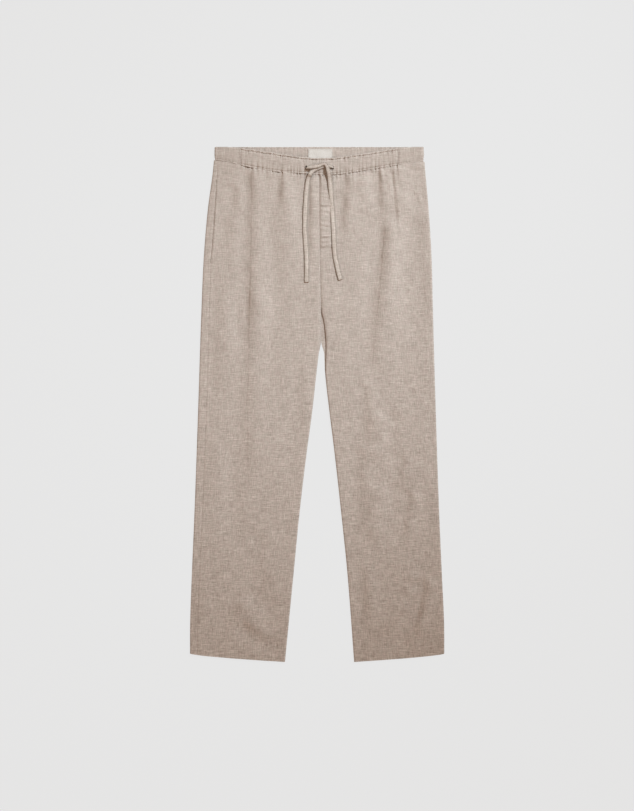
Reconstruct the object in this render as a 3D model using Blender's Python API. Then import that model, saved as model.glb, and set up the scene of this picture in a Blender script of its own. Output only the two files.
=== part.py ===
"""Linen drawstring trousers, laid flat on their back with the front side up.

Metres. x runs across the garment, y up it towards the waist, z up from the surface it lies on.
"Right" and "left" are the wearer's, so the right leg lies at -x. Every place down the garment is
a distance "down" from the top edge of the waist, which is at y = TOP.

Each half is a flattened tube. Its section is one path that starts at the inner edge of the front,
crosses the top, turns round the side fold and runs back along the flat underside. The outseam
cuts that path into a front and a back panel, and each panel is a wall WALL thick inside it.
"""

import bpy
import bmesh
import numpy as np

# Driving sizes
LENGTH = 1.081  # top edge of the waist to the lowest point of the hems
TOP = LENGTH / 2
WALL = 0.0012  # cloth with its seam allowances
SEAM_GAP = 0.0003  # between the pieces at the upright seams
WAIST_GAP = 0.0004  # between the band and the panels, whose facets differ

LIE_HEIGHT = 0.0052  # top of the front over the surface, where it lies smooth
FOLD_MIDDLE = 0.0024  # height of the outermost point of a side fold
FOLD_DEPTH = 0.0034  # how far in a side fold is round
FOOT = WALL + SEAM_GAP  # lower edge of a front where it stands on a back

CROTCH = 0.347  # down to where the fronts part
GUSSET_END = 0.416  # down to where the backs part too
GUSSET_BLEND = 0.030
RISE_BLEND = 0.120  # length over which the centre seam sinks to the crotch
CENTRE_GROOVE = 0.0009
GROOVE_WIDTH = 0.010

HEM_OUTER = 1.0634  # down to a hem at the side fold
HEM_SLOPE = 0.0176  # how much lower the hem is at the inner edge
HEM_BEND = 0.7
SEAM_DEEPEST = 0.0593  # down to the lowest point of the front band's lower seam
TOP_FADE = 0.100  # the rows level out over these lengths from the band and from the hem
HEM_FADE = 0.080

BAND_WALL = 0.0016
BAND_HEIGHT = 0.0064  # top of the front band over the surface
BAND_PUFF = 0.0005
BAND_SIDE_DOWN = 0.015  # down to the middle of the side bands
BAND_SEAM_RIGHT = -0.160  # x of the upright seams that end the gathered front band
BAND_SEAM_LEFT = 0.170
BAND_TUCK = 0.026  # how far the side bands run onto the underside
GATHER_PITCH = 0.0140
GATHER_HEIGHT = 0.0006
BACK_GATHER_HEIGHT = 0.0004

RIBBON_THICK = 0.0014
RIBBON_CLEAR = 0.0007
EYELET_LENGTH, EYELET_WIDTH = 0.0076, 0.0056
EYELET_DOWN = 0.0445
EYELET_RIGHT, EYELET_LEFT = -0.0225, 0.0320

LABEL_WIDTH, LABEL_HEIGHT, LABEL_THICK = 0.050, 0.032, 0.0010
LABEL_X, LABEL_DOWN, LABEL_CLEAR = 0.0065, 0.0045, 0.0006

FACING_THICK, FACING_IN, FACING_WIDTH = 0.0010, 0.0070, 0.020
FACING_CLEAR = 0.0004
POCKET_TOP, POCKET_END = 0.072, 0.240

# Facets: how far apart the columns lie near an edge, on the top and on the underside
SMALLEST_STEP = 1e-7
EDGE_REACH = 0.007
FRONT_PITCHES = (0.0020, 0.0125, 0.0125)
BACK_PITCHES = (0.0020, 0.0060, 0.0450)
BAND_PITCHES = (0.0018, 0.0090, 0.0100)
FRONT_COLUMNS = {-1: 22, 1: 27}
BACK_COLUMNS = {-1: 14, 1: 9}
BAND_SIDE_COLUMNS = 17
FRONT_BAND_COLUMNS = 72
BACK_BAND_COLUMNS = 60
RIBBON_SECTIONS = 46

# Outlines: down, x of a half's side fold, and below the crotch x of its inner edge
RIGHT_SIDE = (
    (0.000, -0.2143),
    (0.053, -0.2190),
    (0.130, -0.2293),
    (0.230, -0.2378),
    (0.347, -0.2430),
    (0.557, -0.2500),
    (0.767, -0.2575),
    (0.893, -0.2628),
    (1.000, -0.2666),
    (1.081, -0.2668),
)
LEFT_SIDE = (
    (0.000, 0.2228),
    (0.053, 0.2270),
    (0.130, 0.2338),
    (0.230, 0.2400),
    (0.347, 0.2430),
    (0.557, 0.2490),
    (0.767, 0.2560),
    (0.893, 0.2615),
    (1.000, 0.2664),
    (1.081, 0.2668),
)
RIGHT_INNER = (
    (0.347, 0.0079),
    (0.416, 0.0050),
    (0.473, -0.0012),
    (0.557, -0.0105),
    (0.641, -0.0218),
    (0.767, -0.0368),
    (0.893, -0.0492),
    (1.081, -0.0675),
)
LEFT_INNER = (
    (0.347, 0.0079),
    (0.416, 0.0140),
    (0.473, 0.0165),
    (0.557, 0.0258),
    (0.641, 0.0362),
    (0.767, 0.0502),
    (0.893, 0.0632),
    (1.081, 0.0775),
)
CENTRE_SEAM = ((0.000, 0.0045), (0.130, 0.0045), (0.230, 0.0056), (0.347, 0.0079))

# Outseams: down, length from the side fold to the seam, negative where it lies on the underside
RIGHT_OUTSEAM = ((0.000, 0.0075), (0.075, 0.0120), (0.240, 0.0165), (1.081, 0.0165))
LEFT_OUTSEAM = ((0.000, -0.0070), (1.081, -0.0070))

# Waist: x, down to the front band's top edge, to its lower seam, and to the back band's lower seam.
WAIST = (
    (-0.2200, 0.0015, 0.0288, 0.0288),
    (-0.2080, 0.0015, 0.0288, 0.0288),
    (-0.1850, 0.0018, 0.0325, 0.0300),
    (-0.160, 0.0032, 0.0393, 0.0325),
    (-0.101, 0.0112, 0.0510, 0.0360),
    (-0.020, 0.0226, 0.0573, 0.0380),
    (0.031, 0.0229, 0.0593, 0.0380),
    (0.100, 0.0140, 0.0505, 0.0365),
    (0.170, 0.0035, 0.0388, 0.0330),
    (0.1950, 0.0019, 0.0345, 0.0322),
    (0.2160, 0.0015, 0.0319, 0.0319),
    (0.2280, 0.0015, 0.0319, 0.0319),
)

# Largest folds of the fronts: start, middle and end as x and down, half-width, height.
FOLDS = (
    # start_x, start_down, mid_x, mid_down, end_x, end_down, width, height
    (-0.1375, 0.030, -0.1410, 0.260, -0.1450, 0.800, 0.0090, -0.0017),
    (-0.1560, 0.030, -0.1600, 0.220, -0.1650, 0.560, 0.0120, 0.0009),
    (-0.0745, 0.045, -0.0770, 0.085, -0.0800, 0.150, 0.0080, -0.0014),
    (0.0620, 0.050, 0.0600, 0.120, 0.0560, 0.230, 0.0095, -0.0015),
    (0.1270, 0.040, 0.1330, 0.160, 0.1300, 0.320, 0.0085, -0.0016),
    (0.1300, 0.270, 0.1150, 0.440, 0.0990, 0.700, 0.0095, -0.0013),
    (0.1010, 0.660, 0.0970, 0.850, 0.0930, 1.060, 0.0100, -0.0010),
    (0.1640, 0.500, 0.1620, 0.640, 0.1560, 0.840, 0.0220, 0.0011),
    (-0.1720, 0.120, -0.1820, 0.180, -0.1950, 0.250, 0.0140, -0.0010),
    (-0.0330, 0.390, -0.0360, 0.520, -0.0480, 0.690, 0.0100, -0.0009),
    (-0.1950, 0.960, -0.1350, 1.010, -0.0750, 1.040, 0.0130, -0.0013),
    (0.2180, 0.925, 0.1680, 0.985, 0.1100, 1.030, 0.0120, 0.0016),
    (0.2320, 0.905, 0.2080, 0.990, 0.1400, 1.045, 0.0120, -0.0014),
)

# Rows of both legs' panels, down from the waist before they level out to the band and the hem
STATIONS = (
    *np.linspace(SEAM_DEEPEST, 0.300, 8),
    *np.linspace(0.325, 0.440, 7),
    *np.linspace(0.490, 1.030, 9),
    HEM_OUTER,
)

# Free ends of the drawstring from eyelet to tip: x, down, height over what is under it, width.
# The two go round each other once in a half knot, so each is over and under the other by turns.
RIBBON_RIGHT = (
    (-0.0232, 0.0448, -0.0018, 0.0038),
    (-0.0224, 0.0443, 0.0014, 0.0040),
    (-0.0196, 0.0431, 0.0030, 0.0046),
    (-0.0150, 0.0417, 0.0032, 0.0052),
    (-0.0105, 0.0412, 0.0024, 0.0054),
    (-0.0060, 0.0414, 0.0006, 0.0056),
    (0.0000, 0.0408, 0.0000, 0.0054),
    (0.0055, 0.0385, 0.0004, 0.0054),
    (0.0100, 0.0352, 0.0022, 0.0056),
    (0.0145, 0.0338, 0.0032, 0.0058),
    (0.0195, 0.0375, 0.0032, 0.0064),
    (0.0225, 0.0450, 0.0032, 0.0072),
    (0.0243, 0.0540, 0.0026, 0.0080),
    (0.0262, 0.0680, 0.0008, 0.0088),
    (0.0280, 0.0900, 0.0, 0.0095),
    (0.0298, 0.1250, 0.0, 0.0095),
    (0.0340, 0.1700, 0.0, 0.0095),
    (0.0370, 0.2230, 0.0, 0.0095),
    (0.0420, 0.2490, 0.0, 0.0095),
    (0.0490, 0.2790, 0.0, 0.0095),
)
RIBBON_LEFT = (
    (0.0328, 0.0444, -0.0018, 0.0038),
    (0.0316, 0.0445, 0.0002, 0.0040),
    (0.0240, 0.0450, 0.0002, 0.0052),
    (0.0160, 0.0455, 0.0002, 0.0056),
    (0.0085, 0.0460, 0.0020, 0.0056),
    (0.0035, 0.0434, 0.0032, 0.0056),
    (-0.0015, 0.0385, 0.0034, 0.0056),
    (-0.0055, 0.0345, 0.0026, 0.0056),
    (-0.0100, 0.0320, 0.0010, 0.0056),
    (-0.0142, 0.0345, 0.0002, 0.0056),
    (-0.0158, 0.0410, 0.0002, 0.0060),
    (-0.0162, 0.0490, 0.0002, 0.0068),
    (-0.0180, 0.0590, 0.0002, 0.0080),
    (-0.0212, 0.0740, 0.0, 0.0092),
    (-0.0245, 0.1000, 0.0, 0.0095),
    (-0.0265, 0.1350, 0.0, 0.0095),
    (-0.0277, 0.1760, 0.0, 0.0095),
    (-0.0235, 0.2250, 0.0, 0.0095),
    (-0.0228, 0.2560, 0.0, 0.0095),
    (-0.0229, 0.2840, 0.0, 0.0095),
)


def smooth_step(value):
    value = np.clip(value, 0.0, 1.0)
    return value * value * (3.0 - 2.0 * value)


def column_at(rows, column, at):
    """Smooth curve through one column of a table whose first column rises."""
    table = np.asarray(rows, float)
    knots, values = table[:, 0], table[:, column]
    secants = np.diff(values) / np.diff(knots)
    slopes = np.concatenate([secants[:1], (secants[1:] + secants[:-1]) / 2, secants[-1:]])
    at = np.clip(at, knots[0], knots[-1])
    low = np.clip(np.searchsorted(knots, at, side="right") - 1, 0, len(knots) - 2)
    span = knots[low + 1] - knots[low]
    t = (at - knots[low]) / span
    rise = t * t * (3 - 2 * t)
    return (
        values[low] * (1 - rise)
        + values[low + 1] * rise
        + slopes[low] * span * t * (1 - t) ** 2
        - slopes[low + 1] * span * t * t * (1 - t)
    )


def front_top(x):
    return column_at(WAIST, 1, x)


def front_seam(x):
    return column_at(WAIST, 2, x)


def back_seam(x):
    return column_at(WAIST, 3, x)


def gathers(x):
    """Uneven puckers of cloth drawn up on elastic, from -1 to 1."""
    phase = 2 * np.pi * x / GATHER_PITCH
    return 0.7 * np.sin(phase + 1.4 * np.sin(phase / 4.7)) + 0.3 * np.sin(phase * 1.83 + 1.0)


def fold_height(x, down):
    """What the folds of FOLDS add to the front, each a soft ridge or trough that fades at its ends."""
    total = np.zeros(np.broadcast(x, down).shape)
    for start_x, start_down, mid_x, mid_down, end_x, end_down, width, height in FOLDS:
        nearest = np.full(total.shape, np.inf)
        along = np.zeros(total.shape)
        for t in np.linspace(0, 1, 25):
            bend = 2 * t * (1 - t)
            at_x = start_x * (1 - t) ** 2 + (2 * mid_x - (start_x + end_x) / 2) * bend + end_x * t * t
            at_down = (
                start_down * (1 - t) ** 2
                + (2 * mid_down - (start_down + end_down) / 2) * bend
                + end_down * t * t
            )
            away = np.hypot(x - at_x, (down - at_down) * 0.6)
            closer = away < nearest
            nearest = np.where(closer, away, nearest)
            along = np.where(closer, t, along)
        fade = smooth_step(along / 0.15) * smooth_step((1 - along) / 0.30)
        total += height * fade * np.exp(-((nearest / width) ** 2))
    return total


def lie_height(x, down):
    """Height of the front's outer face over the surface, away from its edges."""
    below_band = np.maximum(down - front_seam(x), 0.0)
    puckers = 0.5 * GATHER_HEIGHT * gathers(x) * np.exp(-below_band / 0.020)
    return LIE_HEIGHT + fold_height(x, down) + puckers


def quarter(share):
    """A quarter of a round: 0 at the edge, 1 where it meets the flat."""
    share = np.clip(share, 0.0, 1.0)
    return np.sqrt(share * (2.0 - share))


class Half:
    """One leg with its side of the seat: sign is -1 for the wearer's right and 1 for the left."""

    def __init__(self, sign, side, inner_edge, outseam):
        self.sign, self.side, self.inner_edge, self.outseam = sign, side, inner_edge, outseam

    def outer(self, down):
        return column_at(self.side, 1, down)

    def centre(self, down):
        return column_at(CENTRE_SEAM, 1, down) + self.sign * SEAM_GAP / 2

    def inner(self, down):
        edge = column_at(self.inner_edge, 1, down) + self.sign * SEAM_GAP / 2
        return np.where(down < CROTCH, self.centre(down), edge)

    def back_inner(self, down):
        """The backs stay together as far as GUSSET_END, under the parting fronts."""
        apart = smooth_step((down - GUSSET_END + GUSSET_BLEND / 3) / GUSSET_BLEND)
        return self.centre(down) + (self.inner(down) - self.centre(down)) * apart

    def seam_from_fold(self, down):
        return column_at(self.outseam, 1, down)

    def path(self, down):
        """The path round the half at one place down, with each point's length from the fold."""
        outer, inner, back_end = self.outer(down), self.inner(down), self.back_inner(down)
        width = abs(inner - outer)
        across = width * (0.5 - 0.5 * np.cos(np.linspace(np.pi, 0, 161)))
        top_x = outer - self.sign * across
        lie = lie_height(top_x, down)
        above_crotch = smooth_step((CROTCH - down) / RISE_BLEND)
        rounding = FOLD_DEPTH + (GROOVE_WIDTH - FOLD_DEPTH) * above_crotch
        edge = FOLD_MIDDLE + (lie - CENTRE_GROOVE - FOLD_MIDDLE) * above_crotch
        top_z = edge + (lie - edge) * quarter((width - across) / rounding)
        top_z = FOLD_MIDDLE + (top_z - FOLD_MIDDLE) * quarter(across / FOLD_DEPTH)
        foot = FOOT + (top_z[0] - FOOT) * above_crotch
        side_z = np.linspace(foot, top_z[0], 5)[:-1]
        turn = np.linspace(0, np.pi / 2, 24)[1:]
        under_x = outer - self.sign * FOLD_DEPTH * (1 - np.cos(turn))
        under_z = FOLD_MIDDLE * (1 - np.sin(turn))
        flat_x = np.linspace(under_x[-1], back_end, 60)[1:]
        path_x = np.concatenate([np.full(4, inner), top_x, under_x, flat_x])
        path_z = np.concatenate([side_z, top_z, under_z, np.zeros(59)])
        return walk(path_x, path_z, self.sign)

    def remap(self, x, down, row_down):
        """Moves x from its place across the row to the same place across the garment at down."""
        share = (x - self.outer(row_down)) / (self.inner(row_down) - self.outer(row_down))
        return self.outer(down) + share * (self.inner(down) - self.outer(down))


def walk(path_x, path_z, sign):
    """A path without its doubled points, with inward normals and lengths counted from the fold."""
    steps = np.hypot(np.diff(path_x), np.diff(path_z))
    keep = np.concatenate([[True], steps > SMALLEST_STEP])
    path_x, path_z = path_x[keep], path_z[keep]
    length = np.concatenate([[0.0], np.cumsum(np.hypot(np.diff(path_x), np.diff(path_z)))])
    run_x, run_z = np.gradient(path_x, length), np.gradient(path_z, length)
    size = np.hypot(run_x, run_z)
    from_fold = length[np.argmax(sign * path_x)] - length
    return path_x, path_z, sign * run_z / size, -sign * run_x / size, from_fold


def spread(start, end, fine_spots, fine_reach, pitches, count):
    """count + 1 places from start to end, closer together near each of fine_spots."""
    dense = np.linspace(start, end, 500)
    fine, coarse_top, coarse_under = pitches
    pitch = np.where(dense > 0, coarse_top, coarse_under)
    for spot in fine_spots:
        pitch = np.where(np.abs(dense - spot) < fine_reach, fine, pitch)
    total = np.concatenate([[0.0], np.cumsum(1 / (pitch[1:] + pitch[:-1]))])
    return np.interp(np.linspace(0, total[-1], count + 1), total, dense)


def pick(path, places, wall):
    """Points at the given places of a path, and the same points moved inwards by wall."""
    path_x, path_z, in_x, in_z, from_fold = path
    order = from_fold[::-1]
    x, z, move_x, move_z = (
        np.interp(places, order, values[::-1]) for values in (path_x, path_z, in_x, in_z)
    )
    size = np.hypot(move_x, move_z)
    return x, z, x + wall * move_x / size, z + wall * move_z / size


def leg_panel(half, front):
    """The outer and inner faces of a front or back panel as two grids of points."""
    outer_rows, inner_rows = [], []
    for row_down in STATIONS:
        path = half.path(row_down)
        from_fold = path[-1]
        seam = half.seam_from_fold(row_down)
        if front:
            start, end = from_fold[0], seam + SEAM_GAP / 2
            places = spread(start, end, (start, 0.0), EDGE_REACH, FRONT_PITCHES, FRONT_COLUMNS[half.sign])
        else:
            start, end = seam - SEAM_GAP / 2, from_fold[-1]
            places = spread(start, end, (0.0,), EDGE_REACH, BACK_PITCHES, BACK_COLUMNS[half.sign])
        x, z, inner_x, inner_z = pick(path, places, WALL)
        share = np.abs(x - half.outer(row_down)) / abs(half.inner(row_down) - half.outer(row_down))
        hem_down = HEM_OUTER + HEM_SLOPE * np.clip(share, 0, 1) ** HEM_BEND
        to_band = smooth_step((SEAM_DEEPEST + TOP_FADE - row_down) / TOP_FADE)
        to_hem = smooth_step((row_down - HEM_OUTER + HEM_FADE) / HEM_FADE)
        shift = 0.0
        for _ in range(3):
            seam_down = np.where(places > 0, front_seam(x + shift), back_seam(x + shift)) + WAIST_GAP
            down = row_down + (seam_down - SEAM_DEEPEST) * to_band + (hem_down - HEM_OUTER) * to_hem
            shift = half.remap(x, down, row_down) - x
        y = TOP - down
        outer_rows.append(np.stack([x + shift, y, z], axis=1))
        inner_rows.append(np.stack([inner_x + shift, y, inner_z], axis=1))
    return np.array(outer_rows), np.array(inner_rows)


def side_band(half, seam_x):
    """A smooth end of the waistband, from its upright seam round the side fold."""
    outer, radius = half.outer(BAND_SIDE_DOWN), BAND_HEIGHT / 2
    turn = np.linspace(0, np.pi, 33)
    round_x = outer - half.sign * radius * (1 - np.sin(turn))
    round_z = radius * (1 + np.cos(turn))
    top_x = np.linspace(seam_x, round_x[0], 40)[:-1]
    flat_x = np.linspace(round_x[-1], outer - half.sign * BAND_TUCK, 20)[1:]
    path_x = np.concatenate([top_x, round_x, flat_x])
    path_z = np.concatenate([np.full(39, BAND_HEIGHT), round_z, np.zeros(19)])
    path = walk(path_x, path_z, half.sign)
    places = spread(path[-1][0], path[-1][-1], (0.0,), EDGE_REACH, BAND_PITCHES, BAND_SIDE_COLUMNS)
    x, z, inner_x, inner_z = pick(path, places, BAND_WALL)
    upper_share = smooth_step(places / BAND_HEIGHT + 0.5)
    high = front_top(x) * upper_share
    low = np.where(places > 0, front_seam(x), back_seam(x))
    rows = np.linspace(0, 1, 4)[:, None]
    y = TOP - (high + (low - high) * rows)
    spreads = [np.broadcast_to(values, y.shape) for values in (x, z, inner_x, inner_z)]
    return np.stack([spreads[0], y, spreads[1]], axis=2), np.stack([spreads[2], y, spreads[3]], axis=2)


def band_face(x, share):
    """Height of the front band's outer face, share of the way down it."""
    puff = BAND_PUFF * 4 * share * (1 - share)
    return BAND_HEIGHT + puff + GATHER_HEIGHT * gathers(x)


def front_band():
    x = np.linspace(BAND_SEAM_RIGHT + SEAM_GAP, BAND_SEAM_LEFT - SEAM_GAP, FRONT_BAND_COLUMNS + 1)[None, :]
    share = np.array([0.0, 0.25, 0.75, 1.0])[:, None]
    y = TOP - (front_top(x) + (front_seam(x) - front_top(x)) * share)
    across = np.broadcast_to(x, y.shape)
    face = np.stack([across, y, band_face(across, share)], axis=2)
    return face, face - [0.0, 0.0, BAND_WALL]


def back_inside(x, share):
    """Height of the back band's inner face, share of the way down it."""
    puff = BAND_PUFF * 4 * share * (1 - share)
    return BAND_WALL + puff * 0.6 + BACK_GATHER_HEIGHT * gathers(x + 0.004)


def back_band(right, left):
    start = right.outer(BAND_SIDE_DOWN) + BAND_TUCK + SEAM_GAP
    end = left.outer(BAND_SIDE_DOWN) - BAND_TUCK - SEAM_GAP
    x = np.linspace(start, end, BACK_BAND_COLUMNS + 1)[None, :]
    share = np.array([0.0, 0.3, 0.7, 1.0])[:, None]
    y = TOP - back_seam(x) * share
    across = np.broadcast_to(x, y.shape)
    inside = np.stack([across, y, back_inside(across, share)], axis=2)
    outside = inside.copy()
    outside[:, :, 2] = 0.0
    return outside, inside


def label_faces():
    """A patch of the back band's inner face, moved out by the seam gap."""
    x = LABEL_X + np.linspace(-0.5, 0.5, 11)[None, :] * LABEL_WIDTH
    down = LABEL_DOWN + np.linspace(0, 1, 4)[:, None] * LABEL_HEIGHT
    across, down = np.broadcast_arrays(x, down)
    under = back_inside(across, down / back_seam(across)) + LABEL_CLEAR
    lower = np.stack([across, TOP - down, under], axis=2)
    return lower + [0.0, 0.0, LABEL_THICK], lower


def pocket_facing(half):
    """A strip of cloth inside the pocket opening, against the inner face of the wall with the seam."""
    down = np.linspace(POCKET_TOP, POCKET_END, 9)[:, None]
    across = FACING_IN + np.linspace(0, 1, 4)[None, :] * FACING_WIDTH
    x = half.outer(down) - half.sign * across
    y = np.broadcast_to(TOP - down, x.shape)
    if half.seam_from_fold(POCKET_TOP) > 0:
        lower = lie_height(x, down) - WALL - FACING_CLEAR - FACING_THICK
    else:
        lower = np.full(x.shape, WALL + FACING_CLEAR)
    lower = np.stack([x, y, lower], axis=2)
    return lower + [0.0, 0.0, FACING_THICK], lower


def ribbon(route):
    """A flat free end of the drawstring, its width level and its thickness along the normal."""
    table = np.asarray(route)
    knots = np.linspace(0, 1, len(table))
    rows = np.column_stack([knots, table])
    at = np.linspace(0, 1, RIBBON_SECTIONS)
    x, down, over, width = (column_at(rows, column, at) for column in (1, 2, 3, 4))
    on_band = smooth_step((front_seam(x) + 0.008 - down) / 0.008)
    under = lie_height(x, down)
    under = under + (BAND_HEIGHT + BAND_PUFF + GATHER_HEIGHT - under) * on_band
    centre = np.stack([x, TOP - down, under + RIBBON_CLEAR + over + RIBBON_THICK / 2], axis=1)
    run = np.gradient(centre, axis=0)
    level = np.stack([-run[:, 1], run[:, 0]], axis=1)
    level /= np.linalg.norm(level, axis=1, keepdims=True)
    wide = np.column_stack([level, np.zeros(len(level))])
    up = np.cross(run, wide)
    up /= np.linalg.norm(up, axis=1, keepdims=True)
    side = wide * width[:, None] / 2
    half_thick = up * RIBBON_THICK / 2
    upper = np.stack([centre - side + half_thick, centre + side + half_thick], axis=1)
    lower = np.stack([centre - side - half_thick, centre + side - half_thick], axis=1)
    return upper, lower


def wall_object(name, faces, material):
    """A closed wall between two grids of points that match one to one."""
    outer, inner = faces
    rows, columns = outer.shape[:2]
    count = rows * columns
    mesh_data = bpy.data.meshes.new(name)
    quads = []
    for row in range(rows - 1):
        for column in range(columns - 1):
            corner = row * columns + column
            quad = (corner, corner + 1, corner + columns + 1, corner + columns)
            quads.append(quad)
            quads.append(tuple(count + index for index in reversed(quad)))
    rim = [row * columns for row in range(rows)]
    rim += [(rows - 1) * columns + column for column in range(1, columns)]
    rim += [row * columns + columns - 1 for row in range(rows - 2, -1, -1)]
    rim += list(range(columns - 2, 0, -1))
    for index, here in enumerate(rim):
        after = rim[(index + 1) % len(rim)]
        quads.append((here, after, count + after, count + here))
    points = np.concatenate([outer.reshape(-1, 3), inner.reshape(-1, 3)])
    mesh_data.from_pydata([tuple(point) for point in points], [], quads)
    shape = bmesh.new()
    shape.from_mesh(mesh_data)
    bmesh.ops.recalc_face_normals(shape, faces=shape.faces)
    shape.to_mesh(mesh_data)
    shape.free()
    mesh_data.shade_smooth()
    mesh_data.set_sharp_from_angle(angle=np.radians(40))
    mesh_data.materials.append(material)
    piece = bpy.data.objects.new(name, mesh_data)
    bpy.context.scene.collection.objects.link(piece)
    return piece


def cut_eyelet(band, x):
    """An oval hole through the front band for one end of the drawstring."""
    cutter_mesh = bpy.data.meshes.new("eyelet_cutter")
    shape = bmesh.new()
    bmesh.ops.create_cone(
        shape, cap_ends=True, segments=12, radius1=0.5, radius2=0.5, depth=BAND_HEIGHT * 2
    )
    bmesh.ops.scale(shape, vec=(EYELET_WIDTH, EYELET_LENGTH, 1.0), verts=shape.verts)
    shape.to_mesh(cutter_mesh)
    shape.free()
    cutter = bpy.data.objects.new("eyelet_cutter", cutter_mesh)
    cutter.location = (x, TOP - EYELET_DOWN, BAND_HEIGHT)
    cutter.display_type = "WIRE"
    cutter.hide_render = True
    bpy.context.scene.collection.objects.link(cutter)
    cut = band.modifiers.new("eyelet", "BOOLEAN")
    cut.operation = "DIFFERENCE"
    cut.solver = "EXACT"
    cut.object = cutter


def finish(name, colour, roughness):
    material = bpy.data.materials.new(name)
    material.use_nodes = True
    shader = material.node_tree.nodes["Principled BSDF"]
    shader.inputs["Base Color"].default_value = (*colour, 1.0)
    shader.inputs["Roughness"].default_value = roughness
    shader.inputs["Metallic"].default_value = 0.0
    return material


def build():
    for item in list(bpy.data.objects):
        bpy.data.objects.remove(item)
    linen = finish("greige_linen", (0.49, 0.42, 0.37), 0.92)
    tape = finish("ecru_label", (0.66, 0.60, 0.53), 0.85)
    right = Half(-1, RIGHT_SIDE, RIGHT_INNER, RIGHT_OUTSEAM)
    left = Half(1, LEFT_SIDE, LEFT_INNER, LEFT_OUTSEAM)
    for side, half in (("right", right), ("left", left)):
        wall_object(f"front_{side}", leg_panel(half, front=True), linen)
        wall_object(f"back_{side}", leg_panel(half, front=False), linen)
        wall_object(f"pocket_facing_{side}", pocket_facing(half), linen)
    wall_object("waistband_side_right", side_band(right, BAND_SEAM_RIGHT), linen)
    wall_object("waistband_side_left", side_band(left, BAND_SEAM_LEFT), linen)
    wall_object("waistband_back", back_band(right, left), linen)
    band = wall_object("waistband_front", front_band(), linen)
    cut_eyelet(band, EYELET_RIGHT)
    cut_eyelet(band, EYELET_LEFT)
    wall_object("drawstring_right", ribbon(RIBBON_RIGHT), linen)
    wall_object("drawstring_left", ribbon(RIBBON_LEFT), linen)
    wall_object("label", label_faces(), tape)


build()
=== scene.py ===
"""Looks of the linen drawstring trousers: the cloth as thin shells on the frame's panels, with their
folds, gathers, hems and stitching, the two free ends of the drawstring, the bare label, the linen
itself, and a plain studio.

Metres. x runs across the garment, y up it towards the waist, z up from the surface it lies on.
"Right" and "left" are the wearer's. A place down the garment is its distance "down" from the top
edge of the waist.
"""

import math

import bmesh
import bpy
import numpy as np
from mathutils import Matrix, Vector


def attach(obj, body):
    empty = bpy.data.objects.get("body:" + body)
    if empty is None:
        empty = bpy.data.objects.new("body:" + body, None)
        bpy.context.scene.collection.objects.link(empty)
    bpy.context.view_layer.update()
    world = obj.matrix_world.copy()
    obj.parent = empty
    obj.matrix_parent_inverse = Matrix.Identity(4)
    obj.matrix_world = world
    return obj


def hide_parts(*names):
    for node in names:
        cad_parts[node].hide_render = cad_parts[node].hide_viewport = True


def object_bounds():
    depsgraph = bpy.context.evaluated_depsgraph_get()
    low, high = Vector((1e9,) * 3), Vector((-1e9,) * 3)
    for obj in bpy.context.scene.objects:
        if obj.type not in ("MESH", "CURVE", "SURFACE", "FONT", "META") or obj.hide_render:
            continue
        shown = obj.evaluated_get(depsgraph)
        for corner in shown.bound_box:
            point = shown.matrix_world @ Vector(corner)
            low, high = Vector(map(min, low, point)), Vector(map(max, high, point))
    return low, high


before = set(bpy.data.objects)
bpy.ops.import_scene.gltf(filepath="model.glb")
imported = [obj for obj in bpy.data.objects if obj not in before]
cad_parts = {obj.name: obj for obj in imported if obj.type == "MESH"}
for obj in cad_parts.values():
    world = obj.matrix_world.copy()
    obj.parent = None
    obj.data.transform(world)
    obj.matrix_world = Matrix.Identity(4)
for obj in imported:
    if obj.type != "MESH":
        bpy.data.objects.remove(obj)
cad_low, cad_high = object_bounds()

# ---------------------------------------------------------------- sizes, as in the frame
TOP = cad_high[1]
CLOTH = 0.0007
SEAM_GAP, WAIST_GAP = 0.0001, 0.0001  # between neighbouring panels, and under the band

LIE_HEIGHT = 0.0052  # of the fronts' outer face over the surface
LOWEST_LIE = 0.0026  # where the fronts rest on the backs
SETTLE = 0.0008  # how softly the fronts come to rest there
FOLD_MIDDLE = 0.0024  # height of the side fold's outermost line
FOLD_DEPTH = 0.0034  # how far in from there the fold is round
FOOT = 0.0014  # lower edge of a leg's inner side

CROTCH = 0.347
GUSSET_END, GUSSET_BLEND = 0.416, 0.03  # where the backs part
RISE_BLEND = 0.12  # length over which the centre seam opens into two inner edges
CENTRE_GROOVE, GROOVE_WIDTH = 0.0012, 0.009
FRONT_PULL, PULL_START, PULL_END = 0.005, 0.332, 0.505  # the left front drawn off its back
CROTCH_ROUNDING = 0.13  # length below the crotch over which the inner edges stay full

HEM_OUTER = 1.0634  # down to the hem at the side fold
HEM_SLOPE, HEM_BEND = 0.0176, 0.7  # how much further at the inner edge, and how it bends
HEM_TURN = 0.0205  # hem stitching up from the hem's edge
SEAM_DEEPEST = 0.0593  # lowest place of the waist seam
TOP_FADE, HEM_FADE = 0.1, 0.08  # lengths over which the rows follow the waist seam and the hem

BAND_WIDTH, BAND_HEIGHT = 0.036, 0.0064
BAND_PUFF, BAND_CLOTH = 0.0008, 0.0015
BAND_SIDE_DOWN = 0.015  # where the bands' side folds take their place from
BAND_SEAM_RIGHT, BAND_SEAM_LEFT = -0.16, 0.17
BAND_TUCK = 0.026  # how far the side bands run under
BAND_STITCH = 0.0045  # topstitching below the band's upper edge

EYELET_DOWN = 0.0445
EYELET_RIGHT, EYELET_LEFT = -0.0225, 0.032
EYELET_WIDTH, EYELET_LENGTH = 0.0056, 0.0076
STRING_THICK, STRING_CLEAR = 0.0014, 0.0009
STRING_FULL = 0.003  # how full the pressed tape stands in its middle

LABEL_WIDTH, LABEL_HEIGHT = 0.05, 0.032
LABEL_X, LABEL_DOWN = 0.0065, 0.0045

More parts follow.
